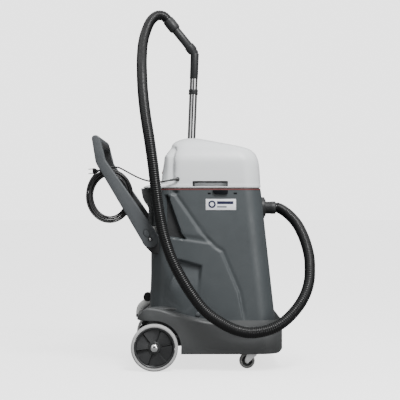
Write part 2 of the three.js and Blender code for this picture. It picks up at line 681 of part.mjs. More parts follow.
// Cord hook: a peg on the inside of the left arm, with a lip that keeps the coil on.
const pegBase = new THREE.Vector3(PEG.x, -HANDLE.innerY + GAP, PEG.z);
const pegProfile = [[0, 0], [14, 0], [14, 4], [PEG.radius, 6], [PEG.radius, 46], [18, 48], [18, 52], [0, 52]];
add('cord_hook', turned(pegProfile, pegBase, across(1)), BLACK, 0.6);

// Mains lead: an oval coil on the peg, a lead from it to a point behind the hose, and one on to the gland.
function makeCoil() {
  const innerX = COIL.outerX - COIL.band;
  const half = COIL.depth / 2;
  const edge = 7;
  const profile = [
    [innerX, -half + edge], [innerX + edge, -half], [COIL.outerX - edge, -half], [COIL.outerX, -half + edge],
    [COIL.outerX, half - edge], [COIL.outerX - edge, half], [innerX + edge, half], [innerX, half - edge],
    [innerX, -half + edge],
  ];
  const coil = turned(profile, new THREE.Vector3(0, 0, 0), across(1), 28);
  coil.scale(1, 1, COIL.outerZ / COIL.outerX);
  return coil.translate(COIL.x, COIL.y, COIL.z);
}

add('mains_coil', makeCoil(), BLACK, 0.5);
const leadOut = [
  [-318, -170, 866.5], [-300, -172, 865], [-282, -178, 857], [-262, -186, 846], [-240, -194, 834],
  [-214, -202, 821], [-188, -210, 811], [-164, -218, 805], [-141, -226, 802],
];
const leadIn = [
  [-140.6, -226.2, 802], [-126, -231, 801], [-108, -235, 802.5], [-92, -235.5, 805.5], [-76, -233, 808.3],
];
add('mains_lead_rear', swept(smoothCurve(leadOut), CORD_RADIUS, 12, 8), BLACK, 0.5);
add('mains_lead_front', swept(smoothCurve(leadIn), CORD_RADIUS, 5, 8), BLACK, 0.5);

const PLUG = { radius: 13, length: 26, pinSpacing: 19, pinRadius: 2.4, pinLength: 20 };
const plugBase = new THREE.Vector3(-386, -158, 851);
const plugDirection = new THREE.Vector3(-1, 0, -0.06).normalize();
const plugProfile = [
  [0, 0], [5, 0], [7, 8], [11, 13], [PLUG.radius, 18], [PLUG.radius, PLUG.length], [0, PLUG.length],
];
const pinsBase = plugBase.clone().addScaledVector(plugDirection, PLUG.length - 1);
const plugPins = [-1, 1].map((side) => {
  const base = pinsBase.clone().addScaledVector(UP, (side * PLUG.pinSpacing) / 2);
  return rod(base, plugDirection, PLUG.pinLength, PLUG.pinRadius, 12);
});
add('mains_plug', join(turned(plugProfile, plugBase, plugDirection), ...plugPins), BLACK, 0.5);

// Suction hose, from the inlet down along the left side and over to the parked wand.
const cuffAxis = GRIP_TOP.clone().sub(CUFF_TOP).normalize();
const hoseEnd = CUFF_TOP.clone().addScaledVector(cuffAxis, -GAP);
const hoseRoute = [
  [394.3, 0, 690], [404, 0, 690], [428, -16, 677], [455, -46, 653], [481, -80, 619], [502, -120, 572],
  [515, -155, 525], [522, -188, 476], [521, -212, 434], [516, -236, 385], [500, -260, 336], [472, -280, 288],
  [429, -295, 239], [380, -305, 201], [325, -310, 179], [258, -311, 171], [196, -311, 184], [133, -311, 216],
  [71, -311, 262], [17, -311, 329], [-29, -308, 403], [-67, -304, 478], [-98, -300, 566], [-119, -298, 662],
  [-134, -297, 767], [-147, -294, 875], [-162, -280, 977], [-180, -236, 1082], [-195, -160, 1192],
  [-205, -54, 1311], [-208, 22, 1375], [-207, 94, 1441], [-196, 162, 1510], [-172, 212, 1573],
  [-142, 238, 1600], [-116, 245, 1598],
  hoseEnd.clone().addScaledVector(cuffAxis, -8).toArray(), hoseEnd.toArray(),
];
add('suction_hose', swept(smoothCurve(hoseRoute), HOSE_RADIUS, 40, 8), BLACK, 0.55);

// Wand with its bend, parked upright on the right side.
const gripAxis = ELBOW.clone().sub(GRIP_TOP).normalize();
const bendStart = GRIP_TOP.clone().addScaledVector(gripAxis, GAP);
const bendFoot = ELBOW.clone().addScaledVector(WAND_AXIS, -(ELBOW.z - WAND.topZ));
const bendPath = new THREE.CurvePath();
const elbowIn = ELBOW.clone().addScaledVector(gripAxis, -26);
const elbowOut = ELBOW.clone().addScaledVector(WAND_AXIS, -26);
bendPath.add(new THREE.LineCurve3(bendStart, elbowIn));
bendPath.add(new THREE.QuadraticBezierCurve3(elbowIn, ELBOW, elbowOut));
bendPath.add(new THREE.LineCurve3(elbowOut, bendFoot));
add('bend_grip', swept(bendPath, 17.5, 12, 12), BLACK, 0.5);
add('wand_cuff', between(CUFF_TOP, GRIP_TOP, 24.5), BLACK, 0.55);

const regulatorFrom = ELBOW.clone().addScaledVector(gripAxis, -52);
const regulatorTo = ELBOW.clone().addScaledVector(gripAxis, -32);
add('suction_regulator', between(regulatorFrom, regulatorTo, 21, 18.4), BLACK, 0.5);

function wandPoint(z) {
  return WAND_FOOT.clone().addScaledVector(WAND_AXIS, (z - WAND.bottomZ) / WAND_AXIS.z);
}

const CHROME_LOOK = [STEEL, 0.15, 1];
const collarTop = wandPoint(WAND.collarZ + 14 - GAP);
const collarBottom = wandPoint(WAND.collarZ - 10);
const spigot = between(wandPoint(WAND.collarZ + 14), wandPoint(WAND.topZ - 1), 16.5, 15);
add('bend_spigot', spigot, ...CHROME_LOOK);
add('wand_collar', between(collarBottom, collarTop, 21, WAND.radius + GAP), BLACK, 0.5);
const upperTube = between(wandPoint(WAND.jointZ + GAP), collarTop, WAND.radius, WAND.bore);
add('wand_upper', upperTube, ...CHROME_LOOK);
const lowerTube = between(wandPoint(WAND.bottomZ), wandPoint(WAND.jointZ), WAND.radius, WAND.bore);
add('wand_lower', lowerTube, ...CHROME_LOOK);

// Wand holder on the right side: a cup at the foot and a clip higher up, flat against the tank's side.
const SIDE_FACE = TANK.halfWidth + RELIEF.proud + GAP;
const sideBlock = box([-300, -SIDE_FACE, 100], [400, SIDE_FACE, 800]);

function makeWandCup() {
  const cup = tube(WAND_FOOT.clone().addScaledVector(WAND_AXIS, -6), WAND_AXIS, 60, 26, WAND.radius + 1);
  const floor = rod(WAND_FOOT.clone().addScaledVector(WAND_AXIS, -6), WAND_AXIS, 5.5, 20);
  const tongue = box([-38, 205, 286], [16, 236, 340]);
  const room = rod(WAND_FOOT, WAND_AXIS, 80, WAND.radius + 1);
  return cut(join(cup, floor, tongue), sideBlock, room);
}

function makeWandClip() {
  const centre = wandPoint(600);
  const body = tube(centre, WAND_AXIS, 26, 23, WAND.radius + 1);
  const mouth = box([-60, WAND.y + 6, 590], [60, WAND.y + 60, 640]);
  const base = box([-24, 205, 602], [26, 228, 624]);
  const room = rod(centre.clone().addScaledVector(WAND_AXIS, -20), WAND_AXIS, 80, WAND.radius + 1);
  return cut(join(body, base), mouth, sideBlock, room);
}

add('wand_cup', makeWandCup(), BLACK, 0.6);
add('wand_clip', makeWandClip(), BLACK, 0.6);

export default part;
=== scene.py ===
"""Looks of an upright wet-and-dry vacuum cleaner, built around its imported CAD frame.

Metres, +X is the front, +Z is up, and the camera looks at the left side, which is -Y.
"""
import math
import random

import bmesh
import bpy
import numpy as np
from mathutils import Matrix, Vector


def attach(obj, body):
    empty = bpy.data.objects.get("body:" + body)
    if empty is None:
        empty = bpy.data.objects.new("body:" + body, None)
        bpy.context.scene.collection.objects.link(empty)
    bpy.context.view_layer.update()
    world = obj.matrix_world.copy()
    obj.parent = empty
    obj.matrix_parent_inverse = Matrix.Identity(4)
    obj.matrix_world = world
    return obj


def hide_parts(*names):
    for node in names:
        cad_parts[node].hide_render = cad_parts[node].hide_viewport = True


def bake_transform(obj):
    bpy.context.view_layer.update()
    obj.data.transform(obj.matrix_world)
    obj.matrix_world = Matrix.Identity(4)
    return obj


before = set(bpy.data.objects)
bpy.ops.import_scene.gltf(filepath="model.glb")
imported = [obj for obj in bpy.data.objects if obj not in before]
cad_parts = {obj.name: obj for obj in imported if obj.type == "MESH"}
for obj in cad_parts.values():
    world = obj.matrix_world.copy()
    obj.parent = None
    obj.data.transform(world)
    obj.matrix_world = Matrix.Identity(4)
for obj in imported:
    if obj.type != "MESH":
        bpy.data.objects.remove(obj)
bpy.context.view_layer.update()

UP = Vector((0, 0, 1))
FORWARD = Vector((1, 0, 0))
RIGHT = Vector((0, 1, 0))
SIDES = (("left", -1), ("right", 1))

# The camera, and strengths of the soft boxes, the backdrop and the floor.
LENS = 85.5
CAMERA_PLACE = (0, -4.27, 0.7246)
CAMERA_TURN = -0.724
LEFT_BOX = 1.4
RIGHT_BOX = 2.2
TOP_BOX = 1.5
FILL = 0.1
BACKDROP = 2.8
FLOOR_BOUNCE = 0.15
FLOOR_SEEN = 0.6
FLOOR_GLOW = 1.9
FLOOR_SIZE = 60
GRAIN_DEPTH = 0.0004

# Area lights: name, place, what they point at, size and power.
LIGHTS = (
    ("key", (0.9, -2.0, 3.2), (0, 0, 0.6), (1.0, 0.8), 135),
    ("low", (2.0, -3.0, 0.7), (0, 0, 0.2), (0.8, 0.6), 22),
)

# Sizes in metres. Most of them follow the CAD part's source.
TANK_HALF_WIDTH = 0.214
TANK_BOTTOM = 0.1504
TANK_RIM = 0.767
NOTCH_LOW = 0.578
NOTCH_HIGH = 0.616
NOTCH_BACK = -0.126
RAISED_FIELD = 0.0042
VALLEY_DEPTH = 0.0034
UPPER_DEPTH = 0.024
LOWER_DEPTH = 0.019
FACET_DEPTH = 0.004
LATCH_SLOTS = (("rear", (0.0845, 0.097)), ("front", (0.195, 0.2095)))
SLOT_HEIGHT = (0.749, 0.756)
CHASSIS_BACK = -0.218
REAR_FOOT = 0.213
ARCH_Y = 0.219
HEAD_GROOVE_X = -0.07
HEAD_GROOVE_WIDTH = 0.0105
HEAD_GROOVE_DEPTH = 0.0175
BAR_BOTTOM = 0.957
BAR_LEAN = 0.257
LOCK_X = -0.175
LOCK_Z = 0.583
LOCK_LEAN = math.radians(31)
PIVOT = Vector((-0.16, 0, 0.558))
WHEEL_X = -0.142
WHEEL_Y = 0.249
WHEEL_RADIUS = 0.1
HUB_FACE = 0.0123
CASTOR_X = 0.254
CASTOR_Y = 0.18
CASTOR_RADIUS = 0.0335
SWIVEL_X = 0.287
HOSE_RADIUS = 0.0225
RIB_PITCH = 0.0088
CORD_RADIUS = 0.0035
INLET_Z = 0.69
SLEEVE_X = 0.3315
LABEL_Y = -0.2153
GLAND_X = -0.044
GLAND_Z = 0.814
FLOAT_X = 0.11
CAGE_Z = 0.655
BEND_RADIUS = 0.02
HOLDER_Y = (0.2183, 0.2235)
WAND_Y = 0.245
WAND_LEAN = math.radians(2.2)
WAND_AXIS = Vector((math.sin(WAND_LEAN), 0, math.cos(WAND_LEAN)))
WAND_FOOT = Vector((-0.011, WAND_Y, 0.292))
ELBOW = Vector((0.0325, WAND_Y, 1.42))
GRIP_TOP = Vector((-0.058, WAND_Y, 1.532))
CUFF_TOP = Vector((-0.096, WAND_Y, 1.579))
GRIP_AXIS = (ELBOW - GRIP_TOP).normalized()
CUFF_AXIS = (GRIP_TOP - CUFF_TOP).normalized()
COIL_CENTRE = Vector((-0.337, -0.17, 0.742))
COIL_HALF_WIDE = 0.086
COIL_HALF_TALL = 0.102
TURN_STEPS = 40
PLUG_BASE = Vector((-0.386, -0.158, 0.851))
PLUG_AXIS = Vector((-1, 0, -0.06)).normalized()


# ---------------------------------------------------------------- camera, light and floor

def make_camera():
    """A long lens, level, a little above the middle of the body, looking square at the left side."""
    data = bpy.data.cameras.new("camera")
    data.sensor_width = 36
    data.lens = LENS
    camera = bpy.data.objects.new("camera", data)
    camera.location = CAMERA_PLACE
    camera.rotation_euler = (math.radians(90), 0, math.radians(CAMERA_TURN))
    bpy.context.scene.collection.objects.link(camera)
    bpy.context.scene.camera = camera


def area_light(name, location, target, size, power):
    data = bpy.data.lights.new(name, "AREA")
    data.shape = "RECTANGLE"
    data.size, data.size_y = size
    data.energy = power
    light = bpy.data.objects.new(name, data)
    light.location = location
    light.rotation_euler = (Vector(target) - Vector(location)).to_track_quat("-Z", "Y").to_euler()
    bpy.context.scene.collection.objects.link(light)


def math_node(tree, operation, first, second, third=None):
    """The result of a sum on numbers and sockets."""
    node = tree.nodes.new("ShaderNodeMath")
    node.operation = operation
    for socket, value in zip(node.inputs, (first, second, third)):
        if value is None:
            continue
        if isinstance(value, (int, float)):
            socket.default_value = value
        else:
            tree.links.new(value, socket)
    return node.outputs[0]


def soft_range(tree, value, low, high, at_low, at_high):
    """A socket's value taken smoothly from one range to another."""
    node = tree.nodes.new("ShaderNodeMapRange")
    node.interpolation_type = "SMOOTHSTEP"
    for name, number in (("From Min", low), ("From Max", high), ("To Min", at_low), ("To Max", at_high)):
        node.inputs[name].default_value = number
    tree.links.new(value, node.inputs["Value"])
    return node.outputs["Result"]


def make_world():
    """Upright soft boxes at the camera's left and right, one above, and a plain white backdrop."""
    world = bpy.data.worlds.new("studio")
    bpy.context.scene.world = world
    world.use_nodes = True
    tree = world.node_tree
    direction = tree.nodes.new("ShaderNodeSeparateXYZ")
    tree.links.new(tree.nodes.new("ShaderNodeTexCoord").outputs["Generated"], direction.inputs["Vector"])
    right = soft_range(tree, direction.outputs["X"], 0.38, 0.52, 0.0, RIGHT_BOX)
    left = soft_range(tree, direction.outputs["X"], -0.52, -0.38, LEFT_BOX, 0.0)
    boxes = math_node(tree, "ADD", right, left)
    ahead = soft_range(tree, direction.outputs["Y"], -0.72, -0.54, 1.0, 0.0)
    above = soft_range(tree, direction.outputs["Z"], 0.3, 0.8, 0.0, TOP_BOX)
    light = math_node(tree, "MULTIPLY_ADD", boxes, ahead, above)
    light = math_node(tree, "ADD", light, FILL)
    seen = tree.nodes.new("ShaderNodeLightPath").outputs["Is Camera Ray"]
    rest = math_node(tree, "SUBTRACT", 1.0, seen)
    lit = math_node(tree, "MULTIPLY", light, rest)
    strength = math_node(tree, "MULTIPLY_ADD", seen, BACKDROP, lit)
    background = tree.nodes["Background"]
    background.inputs["Color"].default_value = (1, 1, 1, 1)
    tree.links.new(strength, background.inputs["Strength"])


def floor_material():
    """Pale paint that throws little light back up, as a wide dark studio floor under a white sweep does."""
    material, tree, shader = new_material("floor_paint")
    shader.inputs["Roughness"].default_value = 0.9
    seen = tree.nodes.new("ShaderNodeLightPath").outputs["Is Camera Ray"]
    paint = ramp(tree, seen, (FLOOR_BOUNCE,) * 3, (FLOOR_SEEN,) * 3, (0.4, 0.6))
    tree.links.new(paint, shader.inputs["Base Color"])
    shader.inputs["Emission Color"].default_value = (1, 1, 1, 1)
    tree.links.new(math_node(tree, "MULTIPLY", seen, FLOOR_GLOW), shader.inputs["Emission Strength"])
    return material


def make_stage():
    make_world()
    for light in LIGHTS:
        area_light(*light)
    bpy.ops.mesh.primitive_plane_add(size=FLOOR_SIZE)
    floor = bpy.context.object
    floor.name = "floor"
    floor.data.materials.append(floor_material())


# ---------------------------------------------------------------- materials

def new_material(name):
    material = bpy.data.materials.new(name)
    material.use_nodes = True
    tree = material.node_tree
    return material, tree, tree.nodes["Principled BSDF"]


def noise(tree, scale, detail):
    texture = tree.nodes.new("ShaderNodeTexNoise")
    texture.inputs["Scale"].default_value = scale
    texture.inputs["Detail"].default_value = detail
    coordinates = tree.nodes.new("ShaderNodeTexCoord")
    tree.links.new(coordinates.outputs["Object"], texture.inputs["Vector"])
    return texture.outputs["Fac"]


def ramp(tree, factor, low, high, ends=(0.3, 0.7)):
    node = tree.nodes.new("ShaderNodeValToRGB")
    node.color_ramp.elements[0].position = ends[0]
    node.color_ramp.elements[1].position = ends[1]
    node.color_ramp.elements[0].color = (*low, 1)
    node.color_ramp.elements[1].color = (*high, 1)
    tree.links.new(factor, node.inputs["Fac"])
    return node.outputs["Color"]


def shade(color, factor):
    return tuple(min(1.0, channel * factor) for channel in color)


def add_bump(tree, shader, height, strength, distance):
    bump = tree.nodes.new("ShaderNodeBump")
    bump.inputs["Strength"].default_value = strength
    bump.inputs["Distance"].default_value = distance
    tree.links.new(height, bump.inputs["Height"])
    tree.links.new(bump.outputs["Normal"], shader.inputs["Normal"])


def surface(name, color, roughness, grain, bump, spread, metallic=0.0, specular=0.5):
    """A moulded or painted surface: slow colour drift, uneven gloss and a fine grain."""
    material, tree, shader = new_material(name)
    drift = ramp(tree, noise(tree, 7, 3), shade(color, 1 - spread), shade(color, 1 + spread))
    tree.links.new(drift, shader.inputs["Base Color"])
    wear = ramp(tree, noise(tree, 30, 4), (roughness - 0.05,) * 3, (roughness + 0.07,) * 3)
    tree.links.new(wear, shader.inputs["Roughness"])
    shader.inputs["Metallic"].default_value = metallic
    shader.inputs["Specular IOR Level"].default_value = specular
    add_bump(tree, shader, noise(tree, grain, 2), bump, GRAIN_DEPTH)
    return material


# Name, colour, roughness, grain, bump and spread, then metallic and specular where they aren't 0 and 0.5.
SURFACES = {
    "head": ("head_plastic", (0.72, 0.74, 0.75), 0.36, 700, 0.05, 0.012),
    "tank": ("tank_plastic", (0.052, 0.06, 0.064), 0.46, 1100, 0.16, 0.06),
    "chassis": ("chassis_plastic", (0.06, 0.063, 0.064), 0.5, 1100, 0.18, 0.07),
    "handle": ("handle_plastic", (0.066, 0.072, 0.077), 0.45, 1100, 0.14, 0.05),
    "black": ("black_plastic", (0.022, 0.023, 0.024), 0.44, 1200, 0.12, 0.12, 0.0, 0.3),
    # rim: dark plastic of the wheel rims and castor cores, also laid as painted shade in the tank's recesses,
    # the grip pocket, the arm channels, under the push bar and on the pivot ears.
    "rim": ("rim_plastic", (0.024, 0.025, 0.026), 0.42, 1000, 0.1, 0.1),
    "hose": ("hose_plastic", (0.006, 0.0062, 0.0066), 0.3, 900, 0.06, 0.15, 0.0, 0.28),
    "cord": ("cord_rubber", (0.019, 0.019, 0.0195), 0.42, 1500, 0.08, 0.15),
    "gasket": ("gasket_rubber", (0.12, 0.03, 0.028), 0.6, 900, 0.1, 0.1),
    "tyre": ("tyre_rubber", (0.42, 0.42, 0.42), 0.7, 800, 0.2, 0.05),
    "castor": ("castor_rubber", (0.22, 0.22, 0.215), 0.65, 900, 0.2, 0.1),
    "drain": ("drain_rubber", (0.66, 0.67, 0.655), 0.5, 700, 0.1, 0.06),
    "zinc": ("zinc", (0.93, 0.935, 0.94), 0.35, 500, 0.1, 0.04, 0.1),
    "chrome": ("chrome", (0.86, 0.865, 0.87), 0.1, 300, 0.01, 0.01, 1.0),
    "white": ("label_film", (0.8, 0.81, 0.84), 0.3, 600, 0.02, 0.01),
    "ink": ("label_ink", (0.008, 0.01, 0.04), 0.4, 600, 0.02, 0.02),
    "grey_ink": ("label_grey_ink", (0.16, 0.17, 0.19), 0.3, 600, 0.02, 0.02),
    "latch": ("latch_plastic", (0.003, 0.004, 0.006), 0.5, 1000, 0.1, 0.1, 0.0, 0.12),
    "red": ("red_plastic", (0.5, 0.04, 0.03), 0.3, 900, 0.05, 0.04),
    "float": ("float_plastic", (0.75, 0.75, 0.73), 0.5, 900, 0.05, 0.03),
    "motor": ("motor_casing", (0.28, 0.29, 0.3), 0.45, 700, 0.1, 0.06),
}


# ---------------------------------------------------------------- mesh tools

def mesh_object(name, verts, faces, material, sharp=35):
    mesh = bpy.data.meshes.new(name)
    mesh.from_pydata([tuple(v) for v in verts], [], faces)
    mesh.validate()
    mesh.materials.append(MATERIALS[material])
    obj = bpy.data.objects.new(name, mesh)
    bpy.context.scene.collection.objects.link(obj)
    tidy_normals(obj, sharp)
    return obj


def tidy_normals(obj, sharp=35, merge=0.0):
    """Outward normals, with edges sharper than an angle left sharp; points closer than merge become one."""
    work = bmesh.new()
    work.from_mesh(obj.data)
    if merge:
        bmesh.ops.remove_doubles(work, verts=work.verts, dist=merge)
    bmesh.ops.recalc_face_normals(work, faces=work.faces)
    work.to_mesh(obj.data)
    work.free()
    obj.data.polygons.foreach_set("use_smooth", [True] * len(obj.data.polygons))
    obj.data.set_sharp_from_angle(angle=math.radians(sharp))


def settle(obj):
    """Replaces the mesh by what its modifiers make of it."""
    graph = bpy.context.evaluated_depsgraph_get()
    mesh = bpy.data.meshes.new_from_object(obj.evaluated_get(graph))
    obj.modifiers.clear()
    obj.data = mesh
    return obj


def bevel(obj, width, segments=3, angle=30):
    modifier = obj.modifiers.new("bevel", "BEVEL")
    modifier.width = width
    modifier.segments = segments
    modifier.limit_method = "ANGLE"
    modifier.angle_limit = math.radians(angle)
    settle(obj)
    tidy_normals(obj)
    return obj


def boolean(obj, others, operation="DIFFERENCE"):
    """Cuts other meshes out of one, or joins them to it, and removes them."""
    for other in others:
        modifier = obj.modifiers.new("boolean", "BOOLEAN")
        modifier.object = other
        modifier.operation = operation
        modifier.solver = "EXACT"
        settle(obj)
        bpy.data.objects.remove(other)
    tidy_normals(obj)
    return obj


def box_mesh(name, low, high, material):
    corners = [(x, y, z) for x in (low[0], high[0]) for y in (low[1], high[1]) for z in (low[2], high[2])]
    faces = [(0, 1, 3, 2), (4, 6, 7, 5), (0, 4, 5, 1), (2, 3, 7, 6), (0, 2, 6, 4), (1, 5, 7, 3)]
    return mesh_object(name, corners, faces, material)


def outward(side, near, far):
    """Two distances outward from the middle plane, as a range of Y on one side."""
    return sorted((side * near, side * far))


def side_box(name, side, x, y, z, material):
    """A box from ranges of X, Y and Z, with Y counted outward on one side."""
    near, far = outward(side, *y)
    return box_mesh(name, (x[0], near, z[0]), (x[1], far, z[1]), material)


def frame_along(direction):
    """Two directions square to the given one and to each other."""
    turn = UP.rotation_difference(direction)
    return turn @ FORWARD, turn @ RIGHT


def turned(name, profile, base, direction, material, segments=64):
    """A turned body from [radius, height] points in metres; points on the axis close it."""
    side, over = frame_along(direction)
    verts, rows = [], []
    for radius, height in profile:
        centre = base + direction * height
        if radius < 1e-7:
            rows.append([len(verts)])
            verts.append(centre)
            continue
        rows.append(list(range(len(verts), len(verts) + segments)))
        for i in range(segments):
            angle = 2 * math.pi * i / segments
            verts.append(centre + side * (radius * math.cos(angle)) + over * (radius * math.sin(angle)))
    return mesh_object(name, verts, bands(rows), material)


def rod(name, radius, length, base, direction, material, segments):
    """A plain round rod, mostly used to cut a hole."""
    profile = [(0, 0), (radius, 0), (radius, length), (0, length)]
    return turned(name, profile, base, direction, material, segments)


def mirrored(half):
    """A closed profile from the half below height 0."""
    return closed_profile(half + [(radius, -height) for radius, height in reversed(half)])


def band(lower, upper):
    """Faces between two rows of points; a row may be a single point."""
    if len(lower) == 1 and len(upper) == 1:
        return []
    if len(lower) == 1:
        return [(lower[0], upper[i], upper[(i + 1) % len(upper)]) for i in range(len(upper))]
    if len(upper) == 1:
        return [(lower[i], lower[(i + 1) % len(lower)], upper[0]) for i in range(len(lower))]
    count = len(lower)
    return [(lower[i], lower[(i + 1) % count], upper[(i + 1) % count], upper[i]) for i in range(count)]


def bands(rows):
    """Faces between each row of points and the next."""
    return [face for lower, upper in zip(rows, rows[1:]) for face in band(lower, upper)]


def ring_rows(levels, count):
    """The point numbers of rings that follow one another, as one row for each ring."""
    return [list(range(level * count, (level + 1) * count)) for level in range(levels)]


def closed_profile(points):
    return points + [points[0]]


def skin(name, rings, material, closed=True, sharp=35):
    """A body through rings of the same number of points."""
    rows = ring_rows(len(rings), len(rings[0]))
    faces = bands(rows)
    if closed:
        faces += [tuple(reversed(rows[0])), tuple(rows[-1])]
    return mesh_object(name, [p for one in rings for p in one], faces, material, sharp)


def smooth_path(points, step):
    """Even points along a centripetal Catmull-Rom curve through the given ones."""
    pts = [Vector(p) for p in points]
    pts = [pts[0] * 2 - pts[1]] + pts + [pts[-1] * 2 - pts[-2]]
    dense = []
    for a, b, c, d in zip(pts, pts[1:], pts[2:], pts[3:]):
        t1 = max((b - a).length, 1e-6) ** 0.5
        t2 = t1 + max((c - b).length, 1e-6) ** 0.5
        t3 = t2 + max((d - c).length, 1e-6) ** 0.5
        for i in range(24):
            t = t1 + (t2 - t1) * i / 24
            a1 = a * ((t1 - t) / t1) + b * (t / t1)
            a2 = b * ((t2 - t) / (t2 - t1)) + c * ((t - t1) / (t2 - t1))
            a3 = c * ((t3 - t) / (t3 - t2)) + d * ((t - t2) / (t3 - t2))
            b1 = a1 * ((t2 - t) / t2) + a2 * (t / t2)
            b2 = a2 * ((t3 - t) / (t3 - t1)) + a3 * ((t - t1) / (t3 - t1))
            dense.append(b1 * ((t2 - t) / (t2 - t1)) + b2 * ((t - t1) / (t2 - t1)))
    dense.append(pts[-2])
    return even_points(dense, step)


def even_points(points, step):
    """Points at even steps along the line through the given ones."""
    array = np.array([tuple(p) for p in points])
    lengths = np.concatenate([[0], np.cumsum(np.linalg.norm(np.diff(array, axis=0), axis=1))])
    count = max(2, int(round(lengths[-1] / step)))
    marks = np.linspace(0, lengths[-1], count + 1)
    return [Vector(tuple(np.interp(m, lengths, array[:, k]) for k in range(3))) for m in marks]


def path_length(points):
    return sum((b - a).length for a, b in zip(points, points[1:]))


def swept(name, path, radius, material, sides):
    """A round tube along even points; radius is a number or a function of the distance along it."""
    rings = []
    tangent = (path[1] - path[0]).normalized()
    side = tangent.orthogonal().normalized()
    distance = 0.0
    for i, point in enumerate(path):
        ahead = path[min(i + 1, len(path) - 1)] - path[max(i - 1, 0)]
        new_tangent = ahead.normalized()
        side = (tangent.rotation_difference(new_tangent) @ side).normalized()
        tangent = new_tangent
        over = tangent.cross(side)
        if i:
            distance += (point - path[i - 1]).length
        size = radius(distance) if callable(radius) else radius
        angles = [2 * math.pi * k / sides for k in range(sides)]
        rings.append([point + side * (size * math.cos(a)) + over * (size * math.sin(a)) for a in angles])
    return skin(name, rings, material, sharp=60)


def side_plate(name, outline, from_y, to_y, material):
    """An outline in X and Z, given thickness between two Y values."""
    front = [Vector((x, from_y, z)) for x, z in outline]
    back = [Vector((x, to_y, z)) for x, z in outline]
    return skin(name, [front, back], material)


def arc(centre, radius, start, end, count):
    """Points of a circle, from one angle to another in degrees."""
    angles = [math.radians(start + (end - start) * i / count) for i in range(count + 1)]
    return [(centre[0] + radius * math.cos(a), centre[1] + radius * math.sin(a)) for a in angles]


def bend(a, control, b, count):
    """Points of a quadratic curve from a to b, without the first."""
    points = []
    for i in range(1, count + 1):
        t = i / count
        weights = ((1 - t) ** 2, 2 * t * (1 - t), t * t)
        points.append(tuple(sum(w * p[k] for w, p in zip(weights, (a, control, b))) for k in range(2)))
    return points


def place(obj, body, slot, *nodes):
    """Gives a piece its body and hides the CAD nodes it stands for; the slot is not used."""
    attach(obj, body)
    if nodes:
        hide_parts(*nodes)
    return obj


def dress(material, *nodes):
    """A carried-over CAD node gets a material."""
    for node in nodes:
        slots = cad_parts[node].data.materials
        slots.clear()
        slots.append(MATERIALS[material])


MATERIALS = {key: surface(*values) for key, values in SURFACES.items()}
make_camera()
make_stage()


# ---------------------------------------------------------------- cords

# The hose from the inlet to the bend, the lead from the coil to behind the hose, and from there to the gland.
HOSE_ROUTE = [
    (0.3943, 0, 0.69), (0.404, 0, 0.69), (0.428, -0.016, 0.677), (0.455, -0.046, 0.653),
    (0.481, -0.08, 0.619), (0.502, -0.12, 0.572), (0.515, -0.155, 0.525), (0.522, -0.188, 0.476),
    (0.521, -0.212, 0.434), (0.516, -0.236, 0.385), (0.5, -0.26, 0.336), (0.472, -0.28, 0.288),
    (0.429, -0.295, 0.239), (0.38, -0.305, 0.201), (0.325, -0.31, 0.179), (0.258, -0.311, 0.171),
    (0.196, -0.311, 0.184), (0.133, -0.311, 0.216), (0.071, -0.311, 0.262), (0.017, -0.311, 0.329),
    (-0.029, -0.308, 0.403), (-0.067, -0.304, 0.478), (-0.098, -0.3, 0.566), (-0.119, -0.298, 0.662),
    (-0.134, -0.297, 0.767), (-0.147, -0.294, 0.875), (-0.162, -0.28, 0.977), (-0.18, -0.236, 1.082),
    (-0.195, -0.16, 1.192), (-0.205, -0.054, 1.311), (-0.208, 0.022, 1.375), (-0.207, 0.094, 1.441),
    (-0.196, 0.162, 1.51), (-0.172, 0.212, 1.573), (-0.142, 0.238, 1.6), (-0.116, 0.245, 1.598),
    tuple(CUFF_TOP - CUFF_AXIS * 0.0083), tuple(CUFF_TOP - CUFF_AXIS * 0.0003),
]
LEAD_OUT = [
    (-0.318, -0.17, 0.8665), (-0.3, -0.172, 0.865), (-0.282, -0.178, 0.857), (-0.262, -0.186, 0.846),
    (-0.24, -0.194, 0.834), (-0.214, -0.202, 0.821), (-0.188, -0.21, 0.811), (-0.164, -0.218, 0.805),
    (-0.141, -0.226, 0.802),
]
LEAD_IN = [
    (-0.1406, -0.2262, 0.802), (-0.126, -0.231, 0.801), (-0.108, -0.235, 0.8025), (-0.092, -0.2355, 0.8055),
    (-0.076, -0.233, 0.8083),
]


def make_hose():
    """The corrugated suction hose, with smooth ends where the cuffs hold it."""
    path = smooth_path(HOSE_ROUTE, RIB_PITCH / 8)
    length = path_length(path)

    def radius(distance):
        if distance < 0.004 or distance > length - 0.004:
            return HOSE_RADIUS - 0.0012
        wave = math.cos(2 * math.pi * distance / RIB_PITCH)
        return HOSE_RADIUS + 0.0004 + 0.0007 * max(-0.8, min(0.8, wave * 1.4))

    hose = swept("ribbed_hose", path, radius, "hose", 28)
    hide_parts("suction_hose")
    return hose


def coil_cells():
    """Places of the coil's turns in its section: in along the near half, back out along the far half."""
    near = [(0, 1), (0, 0), (1, 0), (1, 1), (2, 1), (2, 0), (3, 0), (3, 1)]
    far = [(3, 2), (3, 3), (2, 3), (2, 2), (1, 2), (1, 3), (0, 2), (0, 3)]
    return [((1.5 - layer) * 0.0076, (row - 1.5) * 0.0074) for layer, row in near + far]


